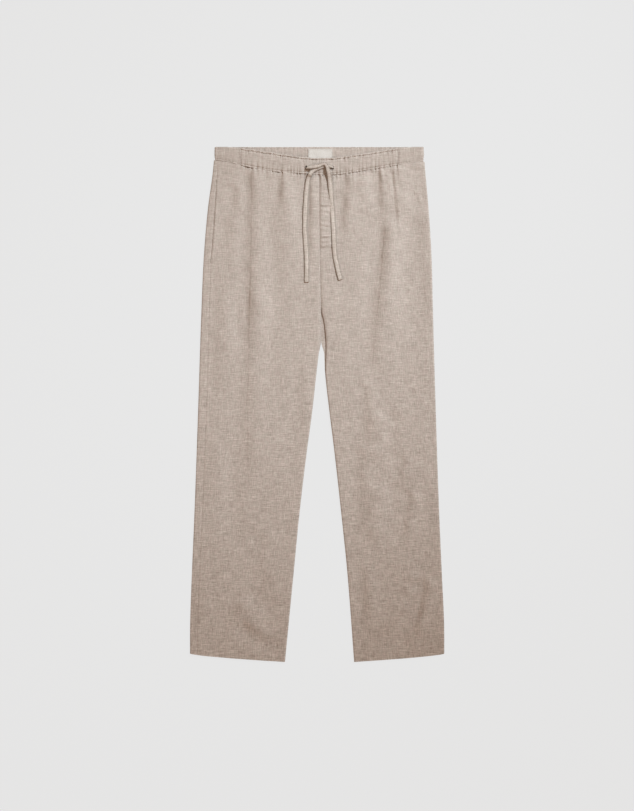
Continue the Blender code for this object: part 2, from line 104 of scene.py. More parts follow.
POCKET_TOP, POCKET_END, POCKET_GAPE = 0.072, 0.24, 0.003
OUTSEAM_STITCH, POCKET_STITCH = 0.0032, 0.005  # rows of stitching in from the outseam, and in from those
FACING_IN, FACING_WIDTH = 0.007, 0.02
FACING_BELOW = 0.0017  # right facing's face under the front's outer face
FACING_ABOVE = 0.0026  # left facing's face over the surface
BACK_INSIDE = 0.0018  # back band's inner face over the surface
BACK_LOWEST = 0.0009  # and in its deepest gathers
LABEL_RISE = 0.0013
FLY_WIDTH, FLY_END, FLY_BEND = 0.0265, 0.214, 0.008
FLY_RISE, FLY_TILT = 0.0016, 0.045
# Wrinkles across the fly: down, lean, strength
FLY_WRINKLES = (
    (0.104, 0.05, 0.5), (0.123, -0.1, 1.0), (0.134, 0.15, 0.6), (0.153, -0.05, 0.8), (0.164, 0.12, 1.1),
    (0.174, 0.05, 0.7), (0.189, -0.08, 1.2), (0.199, 0.1, 0.8), (0.208, -0.2, 0.9),
)
# Soft creases all over the fronts: height, wavelength, seed, stretch down the leg
CREASES = ((0.00045, 0.07, 11, 2.6), (0.00022, 0.03, 12, 1.8), (0.00006, 0.011, 13, 1.3))
# Rows of a front tucked under the band: how far up and how far in
TUCK_UP, TUCK_SINK = (0.003, 0.0014, 0.0004), (0.0017, 0.0012, 0.0005)
TURN_IN = 0.0012  # seam edges turned down between the fronts

BAND_TOP = 0.0075  # the front band at its fullest, under the drawstring
FACING_CLOTH, LABEL_CLOTH = 0.0009, 0.0008
STRING_SECTIONS, STRING_SIDES = 300, 20
STRING_TIP = -9  # section that the tip's stitching crosses
STRING_SEAM = 0.31  # the long edge's stitching, in widths from the middle
STRING_STITCH, LABEL_STITCH = 0.0026, 0.0022
STRING_RIM = 0.74  # from here outwards the tape's edge is painted darker: painted shade outlining the tape
STITCH_PITCH = 0.0031
STITCH_RADII = (0.00008, 0.00019, 0.00022, 0.00019, 0.00008)
STITCH_FILL, STITCH_LIFT = 0.74, 0.00012
THREAD_SIDES = 6
# One stitch: share of its length, height over the cloth in lifts
STITCH_ARCH = ((0.0, -1.6), (0.12, 0.3), (0.5, 1.0), (0.88, 0.3), (1.0, -1.6))
# One buttonhole stitch: out from the eyelet's edge, height over the cloth
BUTTONHOLE_ARCH = (
    (-0.0002, -0.001), (-0.0001, 0.0001), (0.0006, 0.0003), (0.0012, 0.0001), (0.0014, -0.0005),
)
BUTTONHOLE_STITCHES = 38
TACK_WIDTH, TACK_LENGTH, TACK_THREADS = 0.0013, 0.006, 13
TACK_ARCH = (-0.0004, 0.00012, 0.00018, 0.00012, -0.0004)

# Rows and columns of the cloth's grids
FRONT_ROWS, BACK_ROWS, TOP_COLUMNS, UNDER_COLUMNS = 276, 200, 138, 64
INNER_TURN = 0.03  # share of a front's width with columns closer together, at its inner edge
BAND_ROWS, BAND_COLUMNS, SIDE_BAND_ROWS, BACK_BAND_COLUMNS = 52, 360, 26, 320
FACING_ROWS, FACING_COLUMNS, LABEL_ROWS, LABEL_COLUMNS = 60, 12, 40, 60

# How far along the roll each piece was cut, so that its slubs are its own
BAND_ROLL, SIDE_ROLL, BACK_ROLL, FACING_ROLL, STRING_ROLL = 2.0, 4.0, 6.0, 8.0, 12.0

# Gathers: how far they run from the seam, and how many of them run that far
GATHER_LENGTHS, GATHER_SHARES = (0.006, 0.01, 0.016, 0.03), (0.35, 0.35, 0.2, 0.1)
PUCKER_DEPTH, BAND_GATHER_DEPTH, BACK_GATHER_DEPTH = 0.0029, 0.0026, 0.0024
GATHERS_APART, BACK_GATHERS_APART = 0.0066, 0.0062
PUCKERS_END = 0.11  # below the waist seam
BAND_EDGE = 0.0016  # rounding of a band's edges
SEAM_STITCH = 0.0035  # topstitching above a band's lower seam
BACK_TOP = 0.0003  # the back band's upper edge below the waist

CAMERA_LENS, CAMERA_SENSOR = 85.0, 36.0
VIEW_HEIGHT = 1.703  # of the floor, from the frame's bottom to its top
VIEW_MIDDLE = (-0.0004, -0.0025)

FLOOR_SIZE, FLOOR_HEIGHT, FLOOR_GLOW, FLOOR_GREY = 8.0, -0.0006, 0.762, (0.04, 0.04, 0.04, 1.0)
KEY_DIRECTION, KEY_DISTANCE, KEY_AIM = (0.5, 0.5, 0.707), 6.0, (0.06, 0.33, 0.0)
KEY_POWER, KEY_COLOUR = 1712.0, (0.78, 0.915, 1.0)
KEY_RADIUS, KEY_SPREAD = 0.45, math.radians(19.0)
WORLD_GLOW, WORLD_COLOUR = 0.5, (0.96, 0.75, 0.6, 1.0)

RIGHT_SIDE = (
    (0.0, -0.2143), (0.053, -0.219), (0.13, -0.2293), (0.23, -0.2378), (0.347, -0.243), (0.557, -0.25),
    (0.767, -0.2575), (0.893, -0.2628), (1.0, -0.2666), (1.081, -0.2668),
)
LEFT_SIDE = (
    (0.0, 0.2228), (0.053, 0.227), (0.13, 0.2338), (0.23, 0.24), (0.347, 0.243), (0.557, 0.249),
    (0.767, 0.256), (0.893, 0.2615), (1.0, 0.2664), (1.081, 0.2668),
)
RIGHT_INNER = (
    (0.347, 0.0079), (0.416, 0.005), (0.473, -0.0012), (0.557, -0.0105), (0.641, -0.0218), (0.767, -0.0368),
    (0.893, -0.0492), (1.081, -0.0675),
)
LEFT_INNER = (
    (0.347, 0.0079), (0.416, 0.014), (0.473, 0.0165), (0.557, 0.0258), (0.641, 0.0362), (0.767, 0.0502),
    (0.893, 0.0632), (1.081, 0.0775),
)
CENTRE_SEAM = ((0.0, 0.0045), (0.13, 0.0045), (0.23, 0.0056), (0.347, 0.0079))

# Outseams: down, distance across from the side fold, negative on the underside
RIGHT_OUTSEAM = ((0.0, 0.006), (0.075, 0.0105), (0.24, 0.015), (1.081, 0.015))
LEFT_OUTSEAM = ((0.0, -0.0055), (1.081, -0.0055))

# Waist: x, down to the front band's top edge, to its lower seam, and to the back band's lower seam
WAIST = (
    (-0.22, 0.0015, 0.0288, 0.0288), (-0.208, 0.0015, 0.0288, 0.0288), (-0.185, 0.0018, 0.0325, 0.03),
    (-0.16, 0.0032, 0.0393, 0.0325), (-0.101, 0.0112, 0.051, 0.036), (-0.02, 0.0226, 0.0573, 0.038),
    (0.031, 0.0229, 0.0593, 0.038), (0.1, 0.014, 0.0505, 0.0365), (0.17, 0.0035, 0.0388, 0.033),
    (0.195, 0.0019, 0.0345, 0.0322), (0.216, 0.0015, 0.0319, 0.0319), (0.228, 0.0015, 0.0319, 0.0319),
)

# Folds of the fronts. height is a soft ridge or, negative, a trough. lean is a turned-over fold: the
# cloth rises to the wearer's left across the fold's own line and sinks again beyond, or the reverse.
FOLDS = (
    # start_x, start_down, mid_x, mid_down, end_x, end_down, width, height, lean
    (-0.1385, 0.034, -0.1385, 0.18, -0.144, 0.44, 0.016, 0.0004, 0.0066),
    (-0.141, 0.28, -0.145, 0.5, -0.1445, 0.76, 0.022, 0.0003, 0.0058),
    (-0.169, 0.075, -0.176, 0.14, -0.196, 0.235, 0.0145, 0.0, 0.0042),
    (-0.0739, 0.048, -0.076, 0.091, -0.0825, 0.145, 0.01, 0.0, 0.0044),
    (-0.05, 0.052, -0.048, 0.15, -0.05, 0.3, 0.019, 0.0006, -0.0048),
    (-0.015, 0.052, -0.0155, 0.15, -0.015, 0.26, 0.008, 0.0, 0.0034),
    (-0.098, 0.2, -0.1, 0.3, -0.096, 0.42, 0.02, 0.0, -0.0026),
    (0.064, 0.05, 0.059, 0.122, 0.048, 0.215, 0.013, 0.0, 0.006),
    (0.106, 0.05, 0.107, 0.09, 0.109, 0.15, 0.017, 0.0008, -0.0055),
    (0.131, 0.044, 0.1325, 0.09, 0.134, 0.15, 0.01, 0.0, 0.0056),
    (0.145, 0.13, 0.129, 0.32, 0.111, 0.5, 0.019, 0.0006, 0.008),
    (0.106, 0.49, 0.104, 0.57, 0.101, 0.66, 0.015, 0.0, 0.0038),
    (0.094, 0.62, 0.093, 0.73, 0.095, 0.86, 0.019, 0.0, 0.0038),
    (0.1, 0.88, 0.101, 0.95, 0.1, 1.04, 0.015, 0.0, 0.0044),
    (0.157, 0.042, 0.165, 0.112, 0.172, 0.2, 0.0042, -0.0003, 0.0022),
    (0.1455, 0.042, 0.1465, 0.065, 0.148, 0.1, 0.0052, -0.0004, 0.0026),
    (0.189, 0.04, 0.1885, 0.09, 0.19, 0.15, 0.0203, 0.0006, -0.0056),
    (0.22, 0.12, 0.225, 0.3, 0.229, 0.52, 0.024, 0.0, 0.0044),
    (0.178, 0.15, 0.176, 0.26, 0.168, 0.4, 0.023, 0.0004, -0.004),
    (-0.035, 0.4, -0.031, 0.58, -0.045, 0.76, 0.0159, 0.0, 0.0014),
    (0.144, 0.55, 0.142, 0.61, 0.135, 0.68, 0.019, 0.0006, -0.0058),
    (0.145, 0.7, 0.144, 0.77, 0.14, 0.84, 0.021, 0.0006, -0.0054),
    (0.198, 0.72, 0.188, 0.78, 0.172, 0.85, 0.013, 0.0, 0.0046),
    (0.183, 0.65, 0.178, 0.675, 0.171, 0.7, 0.011, 0.0, 0.0032),
    (0.224, 0.9, 0.212, 0.978, 0.17, 1.038, 0.017, -0.0012, 0.011),
    (0.212, 0.975, 0.182, 1.022, 0.1, 1.06, 0.011, -0.003, 0.0),
    (0.208, 0.89, 0.186, 0.968, 0.11, 1.028, 0.015, 0.0034, -0.004),
    (-0.16, 0.995, -0.125, 1.025, -0.07, 1.046, 0.016, -0.0016, 0.0066),
    (-0.15, 0.94, -0.13, 0.965, -0.095, 0.995, 0.023, 0.0006, -0.0056),
    (-0.248, 0.9, -0.25, 0.96, -0.251, 1.035, 0.0174, 0.0, 0.0034),
    (-0.205, 0.3, -0.208, 0.42, -0.21, 0.56, 0.021, 0.0, 0.003),
    (-0.19, 0.62, -0.193, 0.74, -0.198, 0.86, 0.022, 0.0, -0.0032),
    (-0.115, 0.8, -0.118, 0.87, -0.125, 0.95, 0.022, 0.0, 0.003),
)


# Free ends of the drawstring: x, down, height over what is under it, width
STRING_RIGHT = (
    (-0.0226, 0.0462, -0.0018, 0.004), (-0.0214, 0.0456, 0.0012, 0.0048), (-0.018, 0.0444, 0.0028, 0.007),
    (-0.013, 0.0434, 0.0034, 0.0088), (-0.0075, 0.0428, 0.0036, 0.0092), (-0.002, 0.042, 0.0036, 0.009),
    (0.0035, 0.0406, 0.0036, 0.0084), (0.0085, 0.0386, 0.0038, 0.0078), (0.013, 0.037, 0.0042, 0.0072),
    (0.017, 0.0378, 0.0044, 0.007), (0.02, 0.0418, 0.0042, 0.0074), (0.0222, 0.0478, 0.0038, 0.0084),
    (0.0244, 0.056, 0.0028, 0.0095), (0.0266, 0.069, 0.001, 0.0105), (0.0288, 0.09, 0.0, 0.011),
    (0.0312, 0.125, 0.0, 0.011), (0.0343, 0.17, 0.0, 0.011), (0.0372, 0.223, 0.0, 0.011),
    (0.042, 0.249, 0.0, 0.011), (0.049, 0.279, 0.0, 0.011),
)
STRING_LEFT = (
    (0.0328, 0.0444, -0.0018, 0.004), (0.0312, 0.0436, 0.0008, 0.0048), (0.0275, 0.042, 0.001, 0.007),
    (0.0225, 0.0408, 0.0006, 0.008), (0.0165, 0.0408, 0.0002, 0.008), (0.0105, 0.0424, 0.0, 0.008),
    (0.0045, 0.0446, 0.0, 0.0082), (-0.001, 0.0468, 0.0, 0.0084), (-0.006, 0.0494, 0.0002, 0.0086),
    (-0.0105, 0.053, 0.0004, 0.009), (-0.0142, 0.058, 0.0006, 0.0094), (-0.0172, 0.065, 0.0006, 0.01),
    (-0.02, 0.076, 0.0004, 0.0106), (-0.0226, 0.1, 0.0, 0.011), (-0.0246, 0.135, 0.0, 0.011),
    (-0.0256, 0.176, 0.0, 0.011), (-0.0222, 0.225, 0.0, 0.011), (-0.0216, 0.256, 0.0, 0.011),
    (-0.0217, 0.284, 0.0, 0.011),
)


# ---------------------------------------------------------------- camera
def in_scene(name, data):
    """A new object in the scene, with that mesh, light or camera."""
    made = bpy.data.objects.new(name, data)
    bpy.context.scene.collection.objects.link(made)
    return made


def add_camera():
    """Looks straight down on the garment, with its waist at the top of the frame."""
    data = bpy.data.cameras.new("camera")
    data.lens, data.sensor_width = CAMERA_LENS, CAMERA_SENSOR
    camera = in_scene("camera", data)
    camera.location = (*VIEW_MIDDLE, VIEW_HEIGHT * CAMERA_LENS / CAMERA_SENSOR)
    bpy.context.scene.camera = camera


add_camera()


# ---------------------------------------------------------------- curves and noise
def smooth_step(value):
    value = np.clip(value, 0.0, 1.0)
    return value * value * (3.0 - 2.0 * value)


def bell(value, width):
    return np.exp(-((value / width) ** 2))


def column_at(rows, column, at):
    """Smooth curve through one column of a table whose first column rises."""
    table = np.asarray(rows, float)
    knots, values = table[:, 0], table[:, column]
    secants = np.diff(values) / np.diff(knots)
    slopes = np.concatenate([secants[:1], (secants[1:] + secants[:-1]) / 2, secants[-1:]])
    at = np.clip(at, knots[0], knots[-1])
    low = np.clip(np.searchsorted(knots, at, side="right") - 1, 0, len(knots) - 2)
    span = knots[low + 1] - knots[low]
    t = (at - knots[low]) / span
    rise = t * t * (3 - 2 * t)
    return (
        values[low] * (1 - rise)
        + values[low + 1] * rise
        + slopes[low] * span * t * (1 - t) ** 2
        - slopes[low + 1] * span * t * t * (1 - t)
    )


def front_top(x):
    return column_at(WAIST, 1, x)


def front_seam(x):
    return column_at(WAIST, 2, x)


def back_seam(x):
    return column_at(WAIST, 3, x)


def centre_seam(down):
    return column_at(CENTRE_SEAM, 1, down)


def unit(vectors):
    return vectors / np.linalg.norm(vectors, axis=-1, keepdims=True)


def lengths_along(points):
    """Length of the line so far, at each of its points."""
    return np.concatenate([[0], np.cumsum(np.linalg.norm(np.diff(points, axis=0), axis=1))])


def quarter(share):
    """A quarter of a round: 0 at the edge, 1 where it meets the flat."""
    share = np.clip(share, 0.0, 1.0)
    return np.sqrt(share * (2.0 - share))


def undulation(x, y, wavelength, seed, stretch=1.0, waves=16):
    """Soft uneven waves of about one wavelength, from -1 to 1 or so, longer along y by stretch."""
    draw = np.random.default_rng(seed)
    total = np.zeros(np.broadcast(x, y).shape)
    for _ in range(waves):
        angle = draw.uniform(0, 2 * np.pi)
        size = 2 * np.pi / (wavelength * draw.uniform(0.7, 1.5))
        run = x * np.cos(angle) + y * np.sin(angle) / stretch
        total += np.sin(size * run + draw.uniform(0, 2 * np.pi))
    return total / math.sqrt(waves)


def bow(start, middle, end, t):
    """Place at t, from 0 to 1, on the curve from start through middle to end."""
    return start * (1 - t) ** 2 + (2 * middle - (start + end) / 2) * (2 * t * (1 - t)) + end * t * t


def fold_height(x, down):
    """What the folds add, each fading at its ends."""
    total = np.zeros(np.broadcast(x, down).shape)
    for start_x, start_down, mid_x, mid_down, end_x, end_down, width, height, lean in FOLDS:
        reach = 2.6 * width
        near = (x > min(start_x, mid_x, end_x) - reach) & (x < max(start_x, mid_x, end_x) + reach)
        near = near & (down > start_down - 2 * reach) & (down < end_down + 2 * reach)
        near_x, near_down = x[near], down[near]
        nearest = np.full(near_x.shape, np.inf)
        along, beside = np.zeros(near_x.shape), np.zeros(near_x.shape)
        for t in np.linspace(0, 1, 61):
            from_x = near_x - bow(start_x, mid_x, end_x, t)
            from_down = near_down - bow(start_down, mid_down, end_down, t)
            away = np.hypot(from_x, from_down)
            closer = away < nearest
            nearest = np.where(closer, away, nearest)
            along = np.where(closer, t, along)
            beside = np.where(closer, from_x + from_down * 0.2, beside)
        slant = abs(end_x - start_x) / math.hypot(end_x - start_x, end_down - start_down)
        signed = nearest * np.where(np.abs(beside) > 0, np.sign(beside), 1)
        uneven = 1 + 0.25 * np.sin(9.0 * along + 40 * start_x) + 0.15 * np.sin(23.0 * along + 70 * end_x)
        wide = width * (1 + 0.5 * along * (1 - slant))
        fade = smooth_step(along / 0.12) * smooth_step((1 - along) / 0.35) * uneven
        total[near] += fade * bell(signed, wide) * (height + lean * signed / wide)
    return total


def draw_gathers(seed, start, end, spacing):
    """Uneven gathers of the elastic: a row of x, width, depth, lean, length and reach for each."""
    draw = np.random.default_rng(seed)
    rows, x = [], start
    while x < end:
        x += spacing * draw.uniform(0.45, 1.7)
        width, depth = draw.uniform(0.0011, 0.0026), draw.uniform(0.25, 1.0)
        lean = draw.uniform(-0.12, 0.12)
        length = draw.choice(GATHER_LENGTHS, p=GATHER_SHARES) * draw.uniform(0.8, 1.3)
        rows.append((x, width, depth, lean, length, draw.uniform(0, 1)))
    return rows


FRONT_GATHERS = draw_gathers(3, BAND_SEAM_RIGHT + 0.004, BAND_SEAM_LEFT - 0.004, GATHERS_APART)
BACK_GATHERS = draw_gathers(8, -0.185, 0.19, BACK_GATHERS_APART)


def band_gathers(x, share, gathers):
    """Troughs of the gathers across a band, from its upper edge (0) to its seam (1)."""
    total = np.zeros(np.broadcast(x, share).shape)
    from_top, from_seam = share * BAND_WIDTH, (1 - share) * BAND_WIDTH
    for at, width, depth, lean, length, top_reach in gathers:
        centre = at + lean * 0.03 * (share - 0.5)
        up_from_seam = np.exp(-from_seam / (0.5 * length + 0.006))
        reach = np.maximum(up_from_seam, (0.3 + 0.7 * top_reach) * np.exp(-from_top / 0.009))
        total -= depth * reach * bell(x - centre, width * 1.15)
    return total


def panel_puckers(x, below_seam, gathers):
    """The same gathers running out of the seam into the front."""
    total = np.zeros(np.broadcast(x, below_seam).shape)
    near = below_seam < PUCKERS_END
    near_x, below = x[near], below_seam[near]
    part = np.zeros(near_x.shape)
    for at, width, depth, lean, length, _ in gathers:
        spread = width * (1 + below / 0.018)
        beside = near_x - at - lean * below
        part -= depth * np.exp(-below / length) * bell(beside, spread)
        part += 0.4 * depth * np.exp(-below / (length * 1.2)) * bell(beside - 2 * spread, spread)
    total[near] = part
    return total


# ---------------------------------------------------------------- the cloth's lie
def fly_inset(across, down):
    """How far inside the fly's J-shaped stitching a place lies."""
    from_side, from_end = FLY_WIDTH - across, FLY_END - down
    in_bend = FLY_BEND - np.hypot(np.maximum(FLY_BEND - from_side, 0), np.maximum(FLY_BEND - from_end, 0))
    return np.minimum(np.minimum(from_side, from_end), in_bend)


def fly_relief(x, down):
    """The doubled cloth of the fly on the left front, with the short wrinkles across it."""
    across = x - centre_seam(down)
    inset = fly_inset(across, down)
    on_left = smooth_step((across + 0.001) / 0.006)
    inside = smooth_step(inset / 0.0022)
    wrinkles = np.zeros(np.broadcast(x, down).shape)
    for at_down, lean, strength in FLY_WRINKLES:
        line = down - at_down - lean * (across - 0.01)
        wrinkles += strength * (bell(line, 0.0021) - 0.7 * bell(line - 0.0036, 0.002))
    wrinkles *= smooth_step((across - 0.001) / 0.005) * smooth_step((0.026 - across) / 0.008)
    raised = inside * (FLY_RISE - FLY_TILT * across)
    return on_left * (raised - 0.0015 * bell(inset, 0.0016) + 0.0014 * wrinkles)


def lie_height(x, down):
    """Height of the fronts' outer face over the surface, away from their edges."""
    below_seam = np.maximum(down - front_seam(x), 0.0)
    height = LIE_HEIGHT + fold_height(x, down) + PUCKER_DEPTH * panel_puckers(x, below_seam, FRONT_GATHERS)
    for size, wavelength, seed, stretch in CREASES:
        height += size * undulation(x, down, wavelength, seed, stretch)
    over = height + fly_relief(x, down) - LOWEST_LIE
    return LOWEST_LIE + (over + np.sqrt(over**2 + SETTLE**2)) / 2


def under_height(x, down):
    """Shallow hollows of the underside, which otherwise lies flat on its rest."""
    hollow = undulation(x, down, 0.07, 21, 3.0) + 0.6 * undulation(x, down, 0.03, 22, 1.6)
    return 0.00045 * np.maximum(hollow - 0.2, 0.0)


class Half:
    """One leg with its side of the seat: sign is -1 for the wearer's right and 1 for the left."""

    def __init__(self, name, sign, side, inner_edge, outseam):
        self.name, self.sign = name, sign
        self.side, self.inner_edge, self.outseam = side, inner_edge, outseam

    def outer(self, down):
        return column_at(self.side, 1, down)

    def centre(self, down):
        return centre_seam(down) + self.sign * SEAM_GAP / 2

    def inner(self, down):
        edge = column_at(self.inner_edge, 1, down) + self.sign * SEAM_GAP / 2
        return np.where(down < CROTCH, self.centre(down), edge) + self.pull(down)

    def width(self, down):
        return np.abs(self.inner(down) - self.outer(down))

    def x_at(self, across, down):
        """x of a place whose distance across from the side fold is given."""
        return self.outer(down) - self.sign * across

    def pull(self, down):
        """How far the left front's inner edge is drawn off its back, just below the crotch."""
        if self.sign < 0:
            return 0.0 * down
        return FRONT_PULL * smooth_step((down - PULL_START) / 0.045) * smooth_step((PULL_END - down) / 0.11)

    def back_inner(self, down):
        """The backs stay together as far as GUSSET_END, under the parting fronts."""
        apart = smooth_step((down - GUSSET_END + GUSSET_BLEND / 3) / GUSSET_BLEND)
        return self.centre(down) + (self.inner(down) - self.pull(down) - self.centre(down)) * apart

    def outseam_at(self, down):
        return column_at(self.outseam, 1, down)

    def hem_down(self, x, down):
        share = np.abs(x - self.outer(down)) / self.width(down)
        return HEM_OUTER + HEM_SLOPE * np.clip(share, 0, 1) ** HEM_BEND

    def gape(self, down):
        """How far the pocket's mouth stands open along the outseam."""
        share = np.clip((down - POCKET_TOP) / (POCKET_END - POCKET_TOP), 0, 1)
        return POCKET_GAPE * np.sin(np.pi * share) ** 0.7

    def top_height(self, across, down):
        """Height of the upper side, with its distance across from the side fold given."""
        x = self.x_at(across, down)
        lie = lie_height(x, down)
        above = smooth_step((CROTCH - down) / RISE_BLEND)
        near_crotch = smooth_step((CROTCH + CROTCH_ROUNDING - down) / CROTCH_ROUNDING)
        rounding = FOLD_DEPTH + (GROOVE_WIDTH - FOLD_DEPTH) * near_crotch
        edge = FOLD_MIDDLE + (lie - CENTRE_GROOVE - FOLD_MIDDLE) * above
        height = edge + (lie - edge) * quarter((self.width(down) - across) / rounding)
        from_hem = self.hem_down(x, down) - down
        height += hem_relief(x, from_hem)
        below_seam = down - front_seam(x)
        drawn_in = 0.0024 * seam_pits(x, 47) * bell(below_seam, 0.0032)
        height -= above * (0.0002 * bell(below_seam, 0.0022) + drawn_in)
        seam = self.outseam_at(down)
        if self.sign < 0:
            mouth = self.gape(down) / POCKET_GAPE
            lip = across - seam - self.gape(down)
            height += 0.0014 * mouth * smooth_step(lip / 0.0008) * bell(lip, 0.007)
            height -= 0.0006 * mouth * smooth_step(-lip / 0.0008)
            height -= 0.0004 * bell(across - seam, 0.0012) - 0.00025 * bell(across - seam - 0.003, 0.0016)
        height = np.maximum(height, FOLD_MIDDLE + 0.0003 * above)
        return FOLD_MIDDLE + (height - FOLD_MIDDLE) * quarter(across / FOLD_DEPTH)


def hem_relief(x, from_hem):
    """The turned hem: a step where the cloth doubles, with its stitching drawn in."""
    doubled = 0.00035 * smooth_step((HEM_TURN + 0.0012 - from_hem) / 0.0012)
    drawn = -0.00035 * bell(from_hem - HEM_TURN + 0.0012, 0.0011)
    ripples = 0.00022 * undulation(x, from_hem, 0.012, 31, 3.0) * (from_hem < HEM_TURN)
    return doubled + drawn + ripples


RIGHT = Half("right", -1, RIGHT_SIDE, RIGHT_INNER, RIGHT_OUTSEAM)
LEFT = Half("left", 1, LEFT_SIDE, LEFT_INNER, LEFT_OUTSEAM)

# Zones of a panel's columns, in order round a half from the inner edge of the front
STAND, TOP_SIDE, FOLD_UP, FOLD_DOWN, UNDER = range(5)


def row_places(count):
    """Rows from the waist seam to the hem, closest together below the waist."""
    t = np.linspace(0, 1, count)
    return SEAM_DEEPEST + (HEM_OUTER - SEAM_DEEPEST) * (0.45 * t + 0.55 * t**1.9)


def laid(x, down, z, across):
    """A grid of points, with the place of each on the cloth: across and down."""
    return np.stack([x, TOP - down, z], axis=2), np.stack([across, down], axis=2)


def panel_grid(half, zones, rows, top_run, under_run):
    """The outer face of a panel as a grid of points, with its cloth coordinates.

    zones lists (zone, share) for each column. top_run and under_run give, for places down, where the
    run on the upper side and on the underside starts and ends, as distances from the side fold.
    """
    zone = np.array([entry[0] for entry in zones])[None, :]
    share = np.array([entry[1] for entry in zones])[None, :]
    row_down = row_places(rows)[:, None]
    to_band = smooth_step((SEAM_DEEPEST + TOP_FADE - row_down) / TOP_FADE)
    to_hem = smooth_step((row_down - HEM_OUTER + HEM_FADE) / HEM_FADE)
    down = row_down + 0.0 * share
    for _ in range(6):
        top_start, top_end = top_run(half, down)
        under_start, under_end = under_run(half, down)
        round_fold = FOLD_DEPTH * (1 - np.cos(share * np.pi / 2)) + 0 * down
        kinds = [zone == STAND, zone == TOP_SIDE, (zone == FOLD_UP) | (zone == FOLD_DOWN)]
        places = [half.width(down) + 0 * share, top_start + (top_end - top_start) * share, round_fold]
        across = np.select(kinds, places, under_start + (under_end - under_start) * share)
        x = half.x_at(across, down)
        seam = np.where(zone < FOLD_DOWN, front_seam(x), back_seam(x)) + WAIST_GAP
        down = row_down + (seam - SEAM_DEEPEST) * to_band + (half.hem_down(x, down) - HEM_OUTER) * to_hem
    x = half.x_at(across, down)
    above = smooth_step((CROTCH - down) / RISE_BLEND)
    top = half.top_height(across, down)
    foot = FOOT + (top - TURN_IN - FOOT) * above
    below = FOLD_MIDDLE * (1 - np.sin(share * np.pi / 2)) + 0 * down
    flat = under_height(x, down) * smooth_step((across - FOLD_DEPTH) / 0.02)
    kinds = [zone == STAND, zone == FOLD_DOWN, zone == UNDER]
    z = np.select(kinds, [foot + (top - foot) * share, below, flat], top)
    tuck = np.array(TUCK_UP)[:, None] * np.where(zone < FOLD_UP, 1.0, 0.1)
    sink = np.array(TUCK_SINK)[:, None] * (zone < FOLD_UP)
    x = np.concatenate([np.repeat(x[:1], len(TUCK_UP), axis=0), x])
    z = np.concatenate([np.maximum(z[:1] - sink, 0.0), z])
    down = np.concatenate([down[:1] - tuck, down])
    middle = (half.outer(down) + half.inner(down)) / 2
    unfolded = np.where(zone < FOLD_DOWN, x, 2 * half.outer(down) - x)
    return laid(x, down, z, unfolded - middle + 0.5 * (half.sign + 1))


def strip(zone, shares):
    """Columns of one zone, each with its share of the way across it."""
    return [(zone, share) for share in shares]


def even(count, first=0):
    """Even shares from 0 to 1, without the first ones."""
    return np.linspace(0, 1, count)[first:]


def front_top_run(half, down):
    if half.sign < 0:
        return half.width(down), half.outseam_at(down) + SEAM_GAP / 2 + half.gape(down)
    return half.width(down), FOLD_DEPTH + 0 * down


def back_top_run(half, down):
    return half.outseam_at(down) - SEAM_GAP / 2, FOLD_DEPTH + 0 * down


def front_under_run(half, down):
    return FOLD_DEPTH + 0 * down, np.abs(half.outseam_at(down)) - SEAM_GAP / 2 - half.gape(down) / 2


def back_under_run(half, down):
    start = np.abs(half.outseam_at(down)) + SEAM_GAP / 2 if half.sign > 0 else FOLD_DEPTH + 0 * down
    return start, np.abs(half.back_inner(down) - half.outer(down))


# ---------------------------------------------------------------- bands, facings and label
def band_line(x, seed):
    """Uneven drawn-up line of a band's edge or seam."""
    return 0.00035 * undulation(x, 0, 0.016, seed) + 0.0002 * undulation(x, 0, 0.007, seed + 1)


def band_height(x, share):
    """Height of the front band's outer face, share of the way down it."""
    width = front_seam(x) - front_top(x)
    from_top, from_seam = share * width, (1 - share) * width
    height = BAND_HEIGHT + BAND_PUFF * 4 * share * (1 - share)
    height += BAND_GATHER_DEPTH * band_gathers(x, share, FRONT_GATHERS)
    height -= 0.0008 * (1 - quarter(from_top / BAND_EDGE)) + 0.0007 * (1 - quarter(from_seam / 0.0028))
    height -= 0.0011 * bell(from_top - BAND_STITCH, 0.0011) * (1 + 0.4 * undulation(x, share, 0.007, 42))
    height += 0.0005 * bell(from_top - 0.002, 0.0016) - 0.0008 * bell(from_seam - 0.0036, 0.0012)
    height -= 0.0007 * seam_pits(x, 45) * bell(from_top - BAND_STITCH, 0.0014)
    height += 0.00035 * undulation(x, 0, 0.0058, 46) * bell(from_top - 0.0055, 0.005)
    return height + 0.00012 * undulation(x, share * width, 0.012, 43)


def seam_pits(x, seed):
    """Where a gathered seam's stitches draw the cloth in, from 0 to 1."""
    beat = undulation(x, 0, 0.0075, seed, waves=10)
    gathered = smooth_step((x - BAND_SEAM_RIGHT) / 0.012) * smooth_step((BAND_SEAM_LEFT - x) / 0.012)
    return smooth_step((beat - 0.1) / 0.9) * gathered


def band_grid():
    places = np.linspace(BAND_SEAM_RIGHT + SEAM_GAP, BAND_SEAM_LEFT - SEAM_GAP, BAND_COLUMNS)[None, :]
    closer = 0.5 - 0.5 * np.cos(np.linspace(0, np.pi, BAND_ROWS))[:, None]
    x, share = np.broadcast_arrays(places, 0.6 * closer + 0.4 * even(BAND_ROWS)[:, None])
    top = front_top(x) + band_line(x, 51)
    down = top + (front_seam(x) - top) * share
    z = band_height(x, share)
    ends = np.minimum(x - BAND_SEAM_RIGHT, BAND_SEAM_LEFT - x)
    z = z - 0.0008 * (1 - quarter(ends / 0.0022))
    return laid(x, down, z, x + BAND_ROLL)


